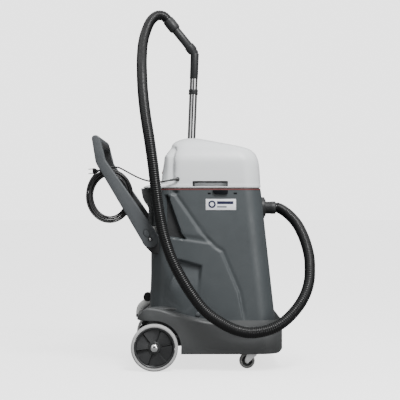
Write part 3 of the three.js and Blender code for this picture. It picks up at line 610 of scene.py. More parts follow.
def coil_path():
    """The lead from the junction behind the hose, round the coil's turns and out to the plug."""
    random.seed(7)
    cells = coil_cells()
    points = [Vector(p) for p in reversed(LEAD_OUT)]
    start = math.radians(104)
    phases = [random.uniform(0, 2 * math.pi) for _ in cells]
    for i in range(len(cells) * TURN_STEPS - 3):
        turn, step = divmod(i, TURN_STEPS)
        share = step / TURN_STEPS
        here = cells[turn]
        after = cells[min(turn + 1, len(cells) - 1)]
        mix = min(1.0, max(0.0, (share - 0.65) / 0.35))
        mix = mix * mix * (3 - 2 * mix)
        lift = 0.0115 * max(0.0, 1 - i / 9) ** 2
        radial = here[0] * (1 - mix) + after[0] * mix + lift
        across = here[1] * (1 - mix) + after[1] * mix
        angle = start + 2 * math.pi * i / TURN_STEPS
        loose = 0.5 - 0.5 * math.cos(angle + 0.6)
        sway = 0.0016 * loose * math.sin(2 * angle + phases[turn])
        wide = COIL_HALF_WIDE + radial + sway
        tall = COIL_HALF_TALL + radial + sway
        points.append(COIL_CENTRE + Vector((wide * math.cos(angle), across, tall * math.sin(angle))))
    return points + [Vector((-0.374, -0.1582, 0.852)), PLUG_BASE]


def make_plug():
    """A moulded plug with two round pins, at the end of the coil."""
    body = [(0, 0), (0.005, 0), (0.0052, 0.002), (0.007, 0.008), (0.0105, 0.0125), (0.0124, 0.0155),
            (0.013, 0.019), (0.013, 0.0245), (0.0118, 0.026), (0, 0.026)]
    plug = turned("plug_body", body, PLUG_BASE, PLUG_AXIS, "cord", 40)
    place(plug, "handle", "cord_rubber", "mains_plug")
    pin = [(0, 0), (0.0024, 0), (0.0024, 0.0175), (0.0014, 0.019), (0, 0.019)]
    pieces = [plug]
    for name, offset in (("lower", -0.0095), ("upper", 0.0095)):
        base = PLUG_BASE + PLUG_AXIS * 0.0255 + UP * offset
        pieces.append(turned(f"plug_pin_{name}", pin, base, PLUG_AXIS, "chrome", 20))
        place(pieces[-1], "handle", "cord_rubber")
    return pieces


def make_cords():
    hose = make_hose()
    rear_path = smooth_path(coil_path(), 0.006)
    rear = swept("mains_lead", rear_path, CORD_RADIUS, "cord", 10)
    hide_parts("mains_coil", "mains_lead_rear")
    make_plug()
    front_path = smooth_path(LEAD_IN, 0.004)
    front = swept("mains_lead_at_gland", list(reversed(front_path)), CORD_RADIUS, "cord", 14)
    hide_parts("mains_lead_front")
    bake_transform(hose)
    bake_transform(rear)
    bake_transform(front)


make_cords()


# ---------------------------------------------------------------- outlines and level rings

def round_ring(z, back, front, half_width, back_radius, front_radius, corner, side, face):
    """A level ring with round corners, as rows of X, Y, Z, starting at the front right corner."""
    points = []
    corners = [
        (front - front_radius, half_width - front_radius, front_radius, 0, side),
        (back + back_radius, half_width - back_radius, back_radius, 1, face),
        (back + back_radius, -half_width + back_radius, back_radius, 2, side),
        (front - front_radius, -half_width + front_radius, front_radius, 3, face),
    ]
    for index, (x, y, radius, quarter, straight) in enumerate(corners):
        arc_points = []
        for i in range(corner + 1):
            angle = math.pi / 2 * (quarter + i / corner)
            arc_points.append((x + radius * math.cos(angle), y + radius * math.sin(angle)))
        following = corners[(index + 1) % 4]
        angle = math.pi / 2 * (quarter + 1)
        start = arc_points[-1]
        end = (following[0] + following[2] * math.cos(angle), following[1] + following[2] * math.sin(angle))
        points += arc_points
        points += [
            (start[0] + (end[0] - start[0]) * i / straight, start[1] + (end[1] - start[1]) * i / straight)
            for i in range(1, straight)
        ]
    return np.array([(px, py, z) for px, py in points])


def ring_normals(ring):
    """Level directions that point out of a ring, one for each of its points."""
    ahead = np.roll(ring, -1, axis=0) - np.roll(ring, 1, axis=0)
    normals = np.stack([ahead[:, 1], -ahead[:, 0], np.zeros(len(ring))], axis=1)
    return normals / np.linalg.norm(normals, axis=1)[:, None]


def outline_distance(x, z, outline):
    """Distance to a closed outline in X and Z, negative inside it."""
    best = np.full(x.shape, 9.0)
    inside = np.zeros(x.shape, bool)
    for (ax, az), (bx, bz) in zip(outline, outline[1:] + outline[:1]):
        ex, ez = bx - ax, bz - az
        t = np.clip(((x - ax) * ex + (z - az) * ez) / (ex * ex + ez * ez), 0, 1)
        best = np.minimum(best, np.hypot(x - ax - ex * t, z - az - ez * t))
        crosses = (az > z) != (bz > z)
        if abs(ez) > 1e-9:
            inside ^= crosses & (x < ax + (z - az) * ex / ez)
    return np.where(inside, -best, best)


def soft_step(value, low, high):
    """0 below low, 1 above high, and smooth between."""
    t = np.clip((value - low) / (high - low), 0, 1)
    return t * t * (3 - 2 * t)


def shell(name, outside, inside, material, sharp):
    """A wall between outside rings and inside rings, both from the lowest to the highest, open below."""
    rings = list(outside) + list(reversed(inside))
    rows = ring_rows(len(rings), len(outside[0]))
    wall, lining = rows[:len(outside)], rows[len(outside):]
    faces = bands(wall) + bands(lining)
    faces += [tuple(wall[-1]), tuple(reversed(lining[0]))]
    faces += band(lining[-1], wall[0])
    return mesh_object(name, [p for one in rings for p in one], faces, material, sharp)


# ---------------------------------------------------------------- tank

RELIEF = [(-0.3, 0.8), (-0.074, 0.8), (-0.071, 0.752), (-0.056, 0.746), (0.062, 0.577), (0.116, 0.521),
          (0.144, 0.503), (0.217, 0.329), (0.24, 0.205), (0.243, 0.1), (-0.3, 0.1)]
UPPER_RECESS = [(-0.1, 0.752), (-0.083, 0.742), (-0.0265, 0.581), (-0.0068, 0.5547), (-0.1, 0.566)]
LOWER_RECESS = [(-0.046, 0.478), (0.064, 0.447), (0.06, 0.41), (0.054, 0.29), (-0.01, 0.235), (-0.11, 0.3)]


def tank_front(z):
    return 0.385 + (z - TANK_BOTTOM) / (TANK_RIM - TANK_BOTTOM) * (0.317 - 0.385)


def tank_back(z):
    if z > NOTCH_LOW:
        return -0.15
    return -0.155 - (NOTCH_LOW - z) / NOTCH_LOW * 0.018


def relief_depth(x, z):
    """How far the side stands out: a raised field with two recesses in it and a valley at its edge."""
    edge = outline_distance(x, z, RELIEF)
    raised = RAISED_FIELD * (1 - soft_step(edge, -0.005, 0.001))
    valley = VALLEY_DEPTH * np.exp(-((edge - 0.005) / 0.008) ** 2) * soft_step(z, 0.2, 0.26)
    gap = 0.01 * np.exp(-((x + 0.052) / 0.01) ** 2 - ((z - 0.757) / 0.006) ** 2)
    upper = UPPER_DEPTH * (1 - soft_step(outline_distance(x, z, UPPER_RECESS), -0.007, 0.001))
    fade = 0.1 + 0.9 * soft_step(z, 0.33, 0.45)
    lower = LOWER_DEPTH * fade * (1 - soft_step(outline_distance(x, z, LOWER_RECESS), -0.017, 0.0))
    facet = FACET_DEPTH * soft_step(z + 0.157 * x, 0.545, 0.56) * soft_step(-z - 0.157 * x, -0.582, -0.562)
    facet *= soft_step(x, -0.1, -0.06) * (1 - soft_step(x, 0.075, 0.11))
    return raised - valley - gap - facet - upper - lower


def tank_ring(z):
    """The tank's outside at one height: round foot, notch and groove at the rear, relief on the sides."""
    inset = 0.008 * max(0, (0.1624 - z) / 0.012) ** 2
    notched = NOTCH_LOW < z < NOTCH_HIGH
    back = NOTCH_BACK if notched else tank_back(z) + inset
    radius = 0.051 if notched else 0.075 - inset
    front = tank_front(z) - inset
    ring = round_ring(z, back, front, TANK_HALF_WIDTH - inset, radius, 0.08 - inset, 14, 96, 60)
    normals = ring_normals(ring)
    weight = soft_step(np.abs(normals[:, 1]), 0.75, 0.98) * soft_step(z, 0.185, 0.2)
    ring += normals * (relief_depth(ring[:, 0], ring[:, 2]) * weight)[:, None]
    groove = (np.abs(ring[:, 1]) < 0.022) & (ring[:, 0] < -0.1) & (z < NOTCH_HIGH)
    ring[groove, 0] = NOTCH_BACK
    return ring


def make_tank():
    """The tank's wall and floor, the slots of its latches, and dark plates in its upper recesses as painted
    shade.
    """
    heights = [TANK_BOTTOM, 0.1515, 0.155, 0.1624, *np.arange(0.166, 0.576, 0.0038)]
    heights += [0.5775, 0.5785, 0.5801, 0.59, 0.604, 0.6139, 0.6155, 0.6165]
    heights += [*np.arange(0.6195, 0.764, 0.0038), 0.7655, TANK_RIM]
    rings = [tank_ring(z) for z in heights]
    for z in (TANK_RIM, 0.622, 0.572, 0.18, 0.159):
        back = -0.116 if z < 0.7 else -0.141
        rings.append(round_ring(z, back, tank_front(z) - 0.009, 0.186, 0.047, 0.052, 14, 96, 60))
    tank = skin("tank_shell", rings, "tank", sharp=40)
    boolean(tank, [side_box("slot", side, x, (0.2085, 0.23), SLOT_HEIGHT, "black")
                   for _, side in SIDES for _, x in LATCH_SLOTS])
    place(tank, "root", "tank_plastic", "tank")
    for name, side in SIDES:
        for part, x in LATCH_SLOTS:
            slot = side_box(f"latch_slot_{part}_{name}", side, x, (0.208, 0.2115), SLOT_HEIGHT, "latch")
            place(slot, "root", "tank_plastic")
        # Dark plates on the floors of the upper recesses: painted shade where the recesses fall into shadow.
        outline = inward(UPPER_RECESS, -0.006)
        panel = side_plate(f"recess_painted_shade_{name}", outline, *outward(side, 0.1935, 0.196), "rim")
        place(panel, "root", "tank_plastic")


# ---------------------------------------------------------------- chassis

def chassis_top():
    """The ledge's height along X, from the front to the rear."""
    points = [(0.398, 0.183)]
    points += bend(points[-1], (0.18, 0.196), (0.0, 0.232), 16)
    points += bend(points[-1], (-0.09, 0.262), (-0.168, 0.268), 16)
    points += bend(points[-1], (-0.188, 0.268), (-0.204, 0.246), 8)
    points.append((-0.22, 0.23))
    return np.array(sorted(points))


def chassis_section(point, normal, inner, top):
    """One upright section of the tray's wall: foot, round-over of the ledge, and step down at the tank."""
    x = point[0]
    high = float(np.interp(x, top[:, 0], top[:, 1]))
    nose = float(soft_step(x, 0.375, 0.408))
    flank = float(soft_step(x, -0.13, -0.05) * (1 - soft_step(x, 0.3, 0.38)))
    if x > WHEEL_X:
        low = 0.071 + 0.01 * nose * nose
        round_over = 0.011 + 0.009 * flank
    else:
        low = REAR_FOOT
        round_over = min(0.011, 0.4 * (high - REAR_FOOT))
    width = round_over + 0.015 * flank

    def wall_point(inset, z):
        return Vector((point[0] - normal[0] * inset, point[1] - normal[1] * inset, z))

    wall = [wall_point(0.008, low), wall_point(0.0015, low), wall_point(0.0, low + 0.003)]
    wall.append(wall_point(0.0, low + 0.5 * (high - round_over - low)))
    for i in range(9):
        angle = math.pi / 2 * i / 8
        wall.append(wall_point(width * (1 - math.cos(angle)), high - round_over * (1 - math.sin(angle))))
    lean = Vector((inner[0], inner[1], high + (0.004 if x > -0.17 else 0.0)))
    foot = Vector((inner[0], inner[1], min(0.216, high - 0.002)))
    middle = wall[-1].lerp(lean, 0.5) + UP * 0.001
    return wall + [middle, lean, foot, wall_point(0.008, 0.214)]


def make_chassis():
    top = chassis_top()
    ring = round_ring(0, CHASSIS_BACK, 0.408, 0.25, 0.055, 0.095, 16, 110, 40)
    tank = round_ring(0, -0.163, 0.383, 0.2142, 0.075, 0.08, 16, 110, 40)
    sections = [chassis_section(*places, top) for places in zip(ring, ring_normals(ring), tank)]
    chassis = skin("chassis_shell", sections + sections[:1], "chassis", closed=False)
    tidy_normals(chassis, merge=1e-6)
    cutters = []
    for _, side in SIDES:
        base = Vector((WHEEL_X, side * ARCH_Y, WHEEL_RADIUS))
        cutters.append(rod("arch", 0.113, 0.06, base, Vector((0, side, 0)), "chassis", 128))
        ahead = WHEEL_X + 0.1125
        cutters.append(side_box("arch_foot", side, (-0.26, ahead), (ARCH_Y, 0.3), (0.02, 0.1), "chassis"))
    cutters.append(box_mesh("drain_notch", (-0.25, -0.022, 0.19), (-0.158, 0.022, 0.3), "chassis"))
    boolean(chassis, cutters)
    bevel(chassis, 0.0012, 2, 40)
    place(chassis, "root", "chassis_plastic", "chassis")


def make_chassis_fittings():
    """The deck, the bridge over the axle, a knob on the side, the castor seats and the axle brackets."""
    levels = [round_ring(z, -0.14, 0.398, 0.24, 0.045, 0.085, 8, 12, 8) for z in (0.142, 0.15)]
    place(skin("chassis_deck", levels, "chassis"), "root", "chassis_plastic")
    profile = [(-0.168, 0.129), (-0.11, 0.129), (-0.11, 0.1015), (-0.029, 0.1015), (-0.029, 0.216),
               (-0.168, 0.216)]
    bridge = side_plate("chassis_bridge", profile, -0.2188, 0.2188, "chassis")
    place(bevel(bridge, 0.004), "root", "chassis_plastic")
    profile = [(0, 0), (0.01, 0), (0.01, 0.007), (0.007, 0.0105), (0, 0.012)]
    knob = turned("side_knob", profile, Vector((0.0425, -0.215, 0.2365)), Vector((0, -1, 0)), "handle", 32)
    place(knob, "root", "chassis_plastic")
    outline = [(-0.18, 0.132), (-0.168, 0.082), (-0.116, 0.082), (-0.104, 0.132)]
    for name, side in SIDES:
        y = side * CASTOR_Y
        low = (SWIVEL_X - 0.042, y - 0.036, 0.0897)
        high = (SWIVEL_X + 0.042, y + 0.036, 0.143)
        seat = box_mesh(f"castor_seat_{name}", low, high, "chassis")
        place(bevel(seat, 0.004), "root", "chassis_plastic")
        y = side * 0.196
        bracket = side_plate(f"axle_bracket_{name}", outline, y - 0.006, y + 0.006, "chassis")
        place(bevel(bracket, 0.002), "root", "chassis_plastic")


# ---------------------------------------------------------------- head

ROCKERS = (("left", -0.028), ("right", 0.028))
PANEL_FRAME = Matrix.Translation((-0.113, 0, 0.826)) @ Matrix.Rotation(math.radians(8.5), 4, "Y")
HEAD_LEVELS = [
    (0.795, -0.118, 0.315, 0.211, 0.08, 0.08),
    (0.82, -0.114, 0.314, 0.2105, 0.08, 0.08),
    (0.85, -0.109, 0.312, 0.209, 0.08, 0.08),
    (0.875, -0.106, 0.3095, 0.2075, 0.079, 0.079),
    (0.895, -0.1035, 0.306, 0.205, 0.078, 0.078),
    (0.912, -0.1015, 0.3005, 0.2, 0.077, 0.077),
    (0.924, -0.094, 0.2945, 0.1945, 0.076, 0.076),
    (0.936, -0.086, 0.284, 0.188, 0.075, 0.075),
    (0.948, -0.0775, 0.266, 0.1795, 0.072, 0.072),
    (0.958, -0.072, 0.235, 0.17, 0.068, 0.07),
    (0.968, -0.068, 0.19, 0.157, 0.066, 0.068),
    (0.978, -0.0585, 0.142, 0.139, 0.062, 0.064),
    (0.987, -0.043, 0.099, 0.114, 0.05, 0.054),
    (0.9945, -0.022, 0.064, 0.084, 0.034, 0.036),
    (0.9985, 0.0, 0.042, 0.05, 0.018, 0.018),
    (0.9992, 0.012, 0.03, 0.016, 0.008, 0.008),
]


def spline_rows(rows, parts):
    """Rows of values along a Catmull-Rom spline through the given rows."""
    rows = [np.array(r) for r in rows]
    rows = [rows[0] * 2 - rows[1]] + rows + [rows[-1] * 2 - rows[-2]]
    made = []
    for a, b, c, d in zip(rows, rows[1:], rows[2:], rows[3:]):
        for i in range(parts):
            t = i / parts
            made.append(0.5 * (2 * b + (c - a) * t + (2 * a - 5 * b + 4 * c - d) * t * t
                               + (3 * b - a - 3 * c + d) * t * t * t))
    made.append(rows[-2])
    return made


def head_rings(inset):
    """The cover's level rings, from its skirt to its top, moved in by a distance."""
    skirt = [
        (0.776, -0.192, 0.31, 0.206, 0.114, 0.074), (0.7783, -0.192, 0.31, 0.206, 0.114, 0.074),
        (0.7786, -0.1965, 0.315, 0.211, 0.119, 0.079), (0.7795, -0.197, 0.316, 0.212, 0.119, 0.08),
        (0.782, -0.1955, 0.316, 0.212, 0.118, 0.08), (0.786, -0.187, 0.316, 0.212, 0.11, 0.08),
        (0.79, -0.172, 0.3158, 0.2118, 0.1, 0.08), (0.7925, -0.15, 0.3155, 0.2114, 0.09, 0.08),
        (0.794, -0.128, 0.315, 0.211, 0.082, 0.08),
    ]
    rows = skirt + spline_rows(HEAD_LEVELS, 5)
    rings = []
    for z, back, front, half, back_radius, front_radius in rows:
        shrink = min(inset, 0.6 * back_radius)
        drop = inset * float(soft_step(z, 0.8, 0.99)) + (0.001 if inset and z > 0.79 else 0)
        ring = round_ring(z - drop, back + inset, front - inset, half - min(inset, 0.3 * half),
                          back_radius - shrink, front_radius - shrink, 16, 40, 30)
        groove_x = HEAD_GROOVE_X + 0.25 * max(0, z - 0.915)
        groove = np.exp(-((ring[:, 0] - groove_x) / HEAD_GROOVE_WIDTH) ** 2)
        tall = soft_step(z, 0.797, 0.812) * (1 - soft_step(z, 0.935, 0.965))
        ring -= ring_normals(ring) * (HEAD_GROOVE_DEPTH * groove * tall)[:, None]
        rings.append(ring)
    return rings


def rocker_windows(material):
    """Boxes that cut the two rocker holes, in the switch panel's own frame."""
    return [box_mesh("window", (-0.008, y - 0.0118, 0.0142), (0.014, y + 0.0118, 0.0458), material)
            for _, y in ROCKERS]


def make_head():
    head = shell("head_shell", head_rings(0), head_rings(0.005), "head", 32)
    cutters = []
    for _, side in SIDES:
        pocket = side_box("pocket", side, (0.019, 0.171), (0.16, 0.23), (0.783, 0.806), "head")
        cutters.append(bevel(pocket, 0.003))
    cutters.append(rod("gland_hole", 0.0064, 0.04, Vector((GLAND_X, -0.23, GLAND_Z)), RIGHT, "head", 32))
    for window in rocker_windows("head"):
        window.data.transform(PANEL_FRAME)
        cutters.append(window)
    boolean(head, cutters)
    place(head, "head", "head_plastic", "head_cover")
    # Dark strips along the grip pocket's roof and its rear end: painted shadow inside the pocket.
    shadow_strips = (("roof", (0.0195, 0.1705), (0.7985, 0.8055)), ("end", (0.0195, 0.029), (0.784, 0.798)))
    for name, side in SIDES:
        ranges = ((0.0165, 0.1735), (0.176, 0.21), (0.7805, 0.8085))
        liner = side_box(f"grip_pocket_{name}", side, *ranges, "head")
        room = side_box("room", side, (0.019, 0.171), (0.179, 0.22), (0.783, 0.806), "head")
        boolean(liner, [room])
        place(liner, "head", "head_plastic")
        for part, x, z in shadow_strips:
            shadow_strip = side_box(f"grip_{part}_{name}", side, x, (0.1795, 0.2055), z, "rim")
            place(shadow_strip, "head", "head_plastic")


# ---------------------------------------------------------------- handle

def handle_outline():
    """The handle's side view: round at the pivot, a straight arm, and the push bar at the top."""
    points = arc((PIVOT.x, PIVOT.z), 0.036, 194, 389, 26)
    points += [(-0.222, 0.713), (-0.346, 0.888)]
    points += bend(points[-1], (-0.352, 0.898), (-0.354, 0.91), 5)
    points.append((-0.371, 0.976))
    points += bend(points[-1], (-0.376, 1.0), (-0.391, 1.0), 10)
    points += bend(points[-1], (-0.408, 1.0), (-0.408, 0.984), 8)
    points.append((-0.393, 0.893))
    points += bend(points[-1], (-0.39, 0.878), (-0.381, 0.865), 5)
    return points


def inward(outline, distance):
    """An outline moved in by a distance, corner by corner."""
    moved = []
    for before, here, after in zip(outline[-1:] + outline[:-1], outline, outline[1:] + outline[:1]):
        a = (Vector(here) - Vector(before)).normalized()
        b = (Vector(after) - Vector(here)).normalized()
        normal = Vector((-a.y - b.y, a.x + b.x)).normalized()
        moved.append(tuple(Vector(here) + normal * (distance / max(0.5, normal.dot(Vector((-a.y, a.x)))))))
    return moved


ARM_CHANNEL = [(-0.2336, 0.615), (-0.1724, 0.64), (-0.222, 0.713), (-0.346, 0.888), (-0.354, 0.91),
               (-0.366, 0.957), (-0.4035, 0.957), (-0.393, 0.893), (-0.381, 0.865)]


def make_handle():
    handle = side_plate("handle_body", handle_outline(), -0.245, 0.245, "handle")
    boolean(handle, [box_mesh("middle", (-0.5, -0.203, 0.4), (0.0, 0.203, BAR_BOTTOM), "handle")])
    bevel(handle, 0.0048, 3, 38)
    cutters = []
    for _, side in SIDES:
        channel = outward(side, 0.195, 0.236)
        cutters.append(side_plate("channel", inward(ARM_CHANNEL, 0.004), *channel, "handle"))
        cutters.append(oval("oval_room", 0.0138, 0.0183, side * 0.2345, side * 0.25))
        base = Vector((PIVOT.x, side * 0.2405, PIVOT.z))
        cutters.append(rod("screw_room", 0.0095, 0.01, base, Vector((0, side, 0)), "handle", 48))
    boolean(handle, cutters)
    place(handle, "handle", "handle_plastic", "handle_frame")
    # A dark plate on the push bar's front face: painted shade under the bar.
    lining = box_mesh("push_bar_painted_shade", (-0.3735, -0.2025, 0.9575), (-0.363, 0.2025, 0.972), "rim")
    shear_with_bar(lining)
    place(lining, "handle", "handle_plastic")


def make_arm_fittings():
    """Each arm's lining, dark as painted shade in its channel, lock button, pivot screw with a dark ring at
    the floor of its hole as painted shade, and the bracket that carries it, dark as painted shade beside the
    arm's end.
    """
    profile = [(0, 0), (0.005, 0), (0.005, 0.0752), (0.006, 0.0752), (0.006, 0.0766), (0.0052, 0.0776),
               (0.0034, 0.0782), (0.0026, 0.0782), (0.0024, 0.0768), (0, 0.0768)]
    shade_washer = closed_profile([(0.0063, 0.0746), (0.0093, 0.0746), (0.0093, 0.0764), (0.0063, 0.0764)])
    foot = [(-0.182, 0.524), (-0.152, 0.494), (-0.1, 0.494), (-0.1, 0.576), (-0.188, 0.576)]
    for name, side in SIDES:
        width = outward(side, 0.2042, 0.23)
        # A dark lining in the arm's channel: painted shade.
        lining = side_plate(f"arm_channel_painted_shade_{name}", inward(ARM_CHANNEL, 0.0043), *width, "rim")
        place(lining, "handle", "handle_plastic")
        button = oval(f"lock_button_cap_{name}", 0.0118, 0.0162, side * 0.2335, side * 0.2462)
        bevel(button, 0.0014, 2)
        place(button, f"lock_{name}", "handle_plastic", f"lock_button_{name}")
        base = Vector((PIVOT.x, side * 0.166, PIVOT.z))
        axis = Vector((0, side, 0))
        # A dark ring at the floor of the screw hole round the screw: painted shade.
        place(turned(f"pivot_shade_washer_{name}", shade_washer, base, axis, "hose", 48), "handle", "handle_plastic")
        screw = turned(f"pivot_bolt_{name}", profile, base, axis, "chrome", 40)
        place(screw, "root", "chrome", f"pivot_screw_{name}")
        # The pivot ear is given the dark rim plastic as painted shade beside the arm's end.
        bracket = side_plate(f"pivot_ear_{name}", foot, *outward(side, 0.13, 0.2024), "rim")
        bevel(bracket, 0.004)
        place(bracket, "root", "tank_plastic", f"handle_bracket_{name}")


def shear_with_bar(obj):
    """Leans an upright box the way the push bar's front face leans."""
    for vertex in obj.data.vertices:
        vertex.co.x -= (vertex.co.z - BAR_BOTTOM) * BAR_LEAN


def oval(name, half_wide, half_long, from_y, to_y):
    """The lock button's leaning oval, between two Y values."""
    cosine, sine = math.cos(LOCK_LEAN), math.sin(LOCK_LEAN)
    rings = []
    for y in (from_y, to_y):
        ring = []
        for i in range(48):
            angle = 2 * math.pi * i / 48
            across, along = half_wide * math.cos(angle), half_long * math.sin(angle)
            x = LOCK_X + across * cosine - along * sine
            z = LOCK_Z + across * sine + along * cosine
            ring.append(Vector((x, y, z)))
        rings.append(ring)
    return skin(name, rings, "handle")


# ---------------------------------------------------------------- wheels

def make_wheels():
    tyre = mirrored([(0.0868, -0.017), (0.088, -0.0195), (0.0915, -0.0208), (0.095, -0.02),
                     (0.0985, -0.0165), (0.0998, -0.012), (0.1, -0.006)])
    cap = [(0, 0), (0.018, 0), (0.018, 0.003), (0.0172, 0.0062), (0.015, 0.0094), (0.0115, 0.0118),
           (0.007, 0.0132), (0.003, 0.0136), (0, 0.0137)]
    for name, side in SIDES:
        axis = Vector((0, side, 0))
        hub = Vector((WHEEL_X, side * WHEEL_Y, WHEEL_RADIUS))
        ring = turned(f"tyre_{name}", tyre, hub, axis, "tyre", 128)
        place(ring, f"wheel_{name}", "tyre_rubber", f"wheel_tyre_{name}")
        rim = make_rim(f"rim_{name}", hub, side)
        place(rim, f"wheel_{name}", "rim_plastic", f"wheel_rim_{name}")
        dome = turned(f"hub_dome_{name}", cap, hub + axis * HUB_FACE, axis, "chrome")
        place(dome, f"wheel_{name}", "chrome", f"hub_cap_{name}")


def make_rim(name, hub, side):
    """A dished disc with six flat blades that climb and drop like a pinwheel, and two thin seam ribs."""
    radii = [0.0104, 0.02, 0.0245, 0.026, 0.027, 0.05, 0.076, 0.0775, 0.079, 0.0815, 0.085, 0.0862]
    rising = {0.0775: 0.006, 0.079: 0.015, 0.0815: 0.0168, 0.085: 0.017, 0.0862: 0.016}
    count = 240
    seam = 11.5 / 60

    def front(radius, angle):
        if radius < 0.0265:
            return HUB_FACE if radius < 0.0255 else 0.011
        if radius in rising:
            return rising[radius]
        blade = (6 * angle / (2 * math.pi) - seam) % 1.0
        height = 0.003 + 0.0085 * (blade / 0.94 if blade < 0.94 else (1 - blade) / 0.06)
        around = (2 * angle / (2 * math.pi) - seam / 3) % 1.0
        return 0.0125 if min(around, 1 - around) < 0.0042 else height

    verts = []
    for sign in (1, -1):
        for radius in radii:
            for i in range(count):
                angle = 2 * math.pi * i / count
                height = front(radius, angle) if sign > 0 else -0.008 if radius < 0.0765 else -0.0165
                x = hub.x + radius * math.cos(angle)
                verts.append((x, hub.y + side * height, hub.z + radius * math.sin(angle)))
    rows = ring_rows(2 * len(radii), count)
    outer, inner = rows[:len(radii)], rows[len(radii):]
    faces = bands(outer) + bands(inner) + band(outer[0], inner[0]) + band(outer[-1], inner[-1])
    return mesh_object(name, verts, faces, "rim", 18)


def make_castors():
    tyre = mirrored([(0.0226, -0.01), (0.0285, -0.0118), (0.0312, -0.0108), (0.033, -0.0075),
                     (0.0335, -0.003)])
    core = mirrored([(0.0042, -0.013), (0.0085, -0.013), (0.0092, -0.0075), (0.012, -0.0055),
                     (0.0185, -0.006), (0.022, -0.009)])
    nut = [(0, 0), (0.0068, 0), (0.0068, 0.003), (0.0056, 0.0038), (0.003, 0.0038), (0.0026, 0.0026),
           (0, 0.0026)]
    for name, side in SIDES:
        y = side * CASTOR_Y
        hub = Vector((CASTOR_X, y, CASTOR_RADIUS))
        across = Vector((0, side, 0))
        ring = turned(f"castor_ring_{name}", tyre, hub, across, "castor", 80)
        place(ring, f"castor_wheel_{name}", "castor_rubber", f"castor_tyre_{name}")
        wheel = turned(f"castor_hub_{name}", core, hub, across, "rim")
        place(wheel, f"castor_wheel_{name}", "rim_plastic", f"castor_core_{name}")
        place(make_fork(f"castor_frame_{name}", y), f"castor_{name}", "zinc", f"castor_fork_{name}")
        for end, away in (("inner", -1), ("outer", 1)):
            seat = Vector((CASTOR_X, y + away * 0.0169, CASTOR_RADIUS))
            bolt = turned(f"castor_bolt_{name}_{end}", nut, seat, Vector((0, away, 0)), "zinc", 6)
            place(bolt, f"castor_{name}", "zinc")


def make_fork(name, y):
    """Pressed steel legs with round ends, under a turned swivel head."""
    outline = [(SWIVEL_X + 0.022, 0.0835), (SWIVEL_X - 0.024, 0.0835), (CASTOR_X - 0.0105, 0.04)]
    outline += arc((CASTOR_X, CASTOR_RADIUS), 0.01, 180, 340, 14)
    outline += [(SWIVEL_X + 0.004, 0.055), (SWIVEL_X + 0.02, 0.074)]
    fork = side_plate(name, outline, y - 0.0168, y + 0.0168, "zinc")
    boolean(fork, [box_mesh("slot", (0.2, y - 0.0142, 0.0), (0.34, y + 0.0142, 0.0725), "zinc")])
    bevel(fork, 0.0008, 2, 40)
    head = [(0, 0), (0.0255, 0), (0.027, 0.0012), (0.027, 0.005), (0.024, 0.0062), (0.024, 0.0078),
            (0.0262, 0.0088), (0.0262, 0.0112), (0, 0.0112)]
    top = turned("swivel", head, Vector((SWIVEL_X, y, 0.078)), UP, "zinc")
    boolean(fork, [top], "UNION")
    return fork


# ---------------------------------------------------------------- small parts

def make_tank_trim():
    # The red gasket, and above it a black ring that is painted shadow in the gap under the head's skirt.
    lower = ((0.7673, 0.002), (0.768, 0.0012), (0.7722, 0.0012), (0.7728, 0.002))
    upper = ((0.7729, 0.004), (0.7733, 0.0034), (0.7752, 0.0034), (0.7757, 0.004))
    gasket_and_shadow_line = (("rim_seal", "gasket", ["rim_gasket"], lower), ("rim_painted_shadow_line", "black", [], upper))
    for name, material, nodes, heights in gasket_and_shadow_line:
        rings = []
        for z, inset in heights:
            width = TANK_HALF_WIDTH - inset
            rings.append(round_ring(z, -0.15 + inset, 0.317 - inset, width, 0.073, 0.078, 14, 30, 20))
        for z, _ in (heights[-1], heights[0]):
            rings.append(round_ring(z, -0.13, 0.297, 0.194, 0.055, 0.06, 14, 30, 20))
        trim_ring = skin(name, rings + rings[:1], material, closed=False)
        tidy_normals(trim_ring, merge=1e-6)
        place(trim_ring, "root", "gasket_rubber", *nodes)
    grip = [(-0.1503, 0.616), (-0.172, 0.616), (-0.172, 0.684)]
    grip += bend(grip[-1], (-0.173, 0.696), (-0.182, 0.706), 5)
    grip += bend(grip[-1], (-0.196, 0.724), (-0.2, 0.745), 6)
    grip += [(-0.205, 0.7755), (-0.1503, 0.7755)]
    rear = side_plate("rear_handhold", grip, -0.128, 0.128, "chassis")
    boolean(rear, [box_mesh("hollow", (-0.195, -0.055, 0.6), (-0.14, 0.055, 0.706), "chassis")])
    bevel(rear, 0.004, 3, 35)
    place(rear, "root", "chassis_plastic", "rear_grip")


def make_label():
    """A plain plate with a ring and two rules, and no lettering."""
    plate = box_mesh("label", (0.076, LABEL_Y, 0.682), (0.205, LABEL_Y + 0.001, 0.729), "white")
    place(bevel(plate, 0.0004, 2), "root", "label", "label_plate")
    profile = closed_profile([(0.0088, 0), (0.0162, 0), (0.0162, 0.0003), (0.0088, 0.0003)])
    ring = turned("label_ring", profile, Vector((0.1025, LABEL_Y, 0.7065)), Vector((0, -1, 0)), "ink", 48)
    place(ring, "root", "label")
    rules = [(0.194, 0.707, 0.7195, "ink"), (0.165, 0.692, 0.699, "grey_ink")]
    for i, (end, low, high, ink) in enumerate(rules):
        corners = ((0.124, LABEL_Y - 0.0002, low), (end, LABEL_Y + 0.0002, high))
        place(box_mesh(f"label_rule_{i}", *corners, ink), "root", "label")


def make_latches():
    outline = [(0.118, 0.749), (0.165, 0.749), (0.169, 0.752), (0.171, 0.764), (0.1705, 0.7667),
               (0.106, 0.7667), (0.1052, 0.764), (0.109, 0.756)]
    for name, side in SIDES:
        y = side * 0.2195
        latch = side_plate(f"latch_hook_{name}", outline, y - 0.0032, y + 0.0032, "latch")
        place(bevel(latch, 0.001), f"latch_{name}", "black_plastic", f"latch_{name}")


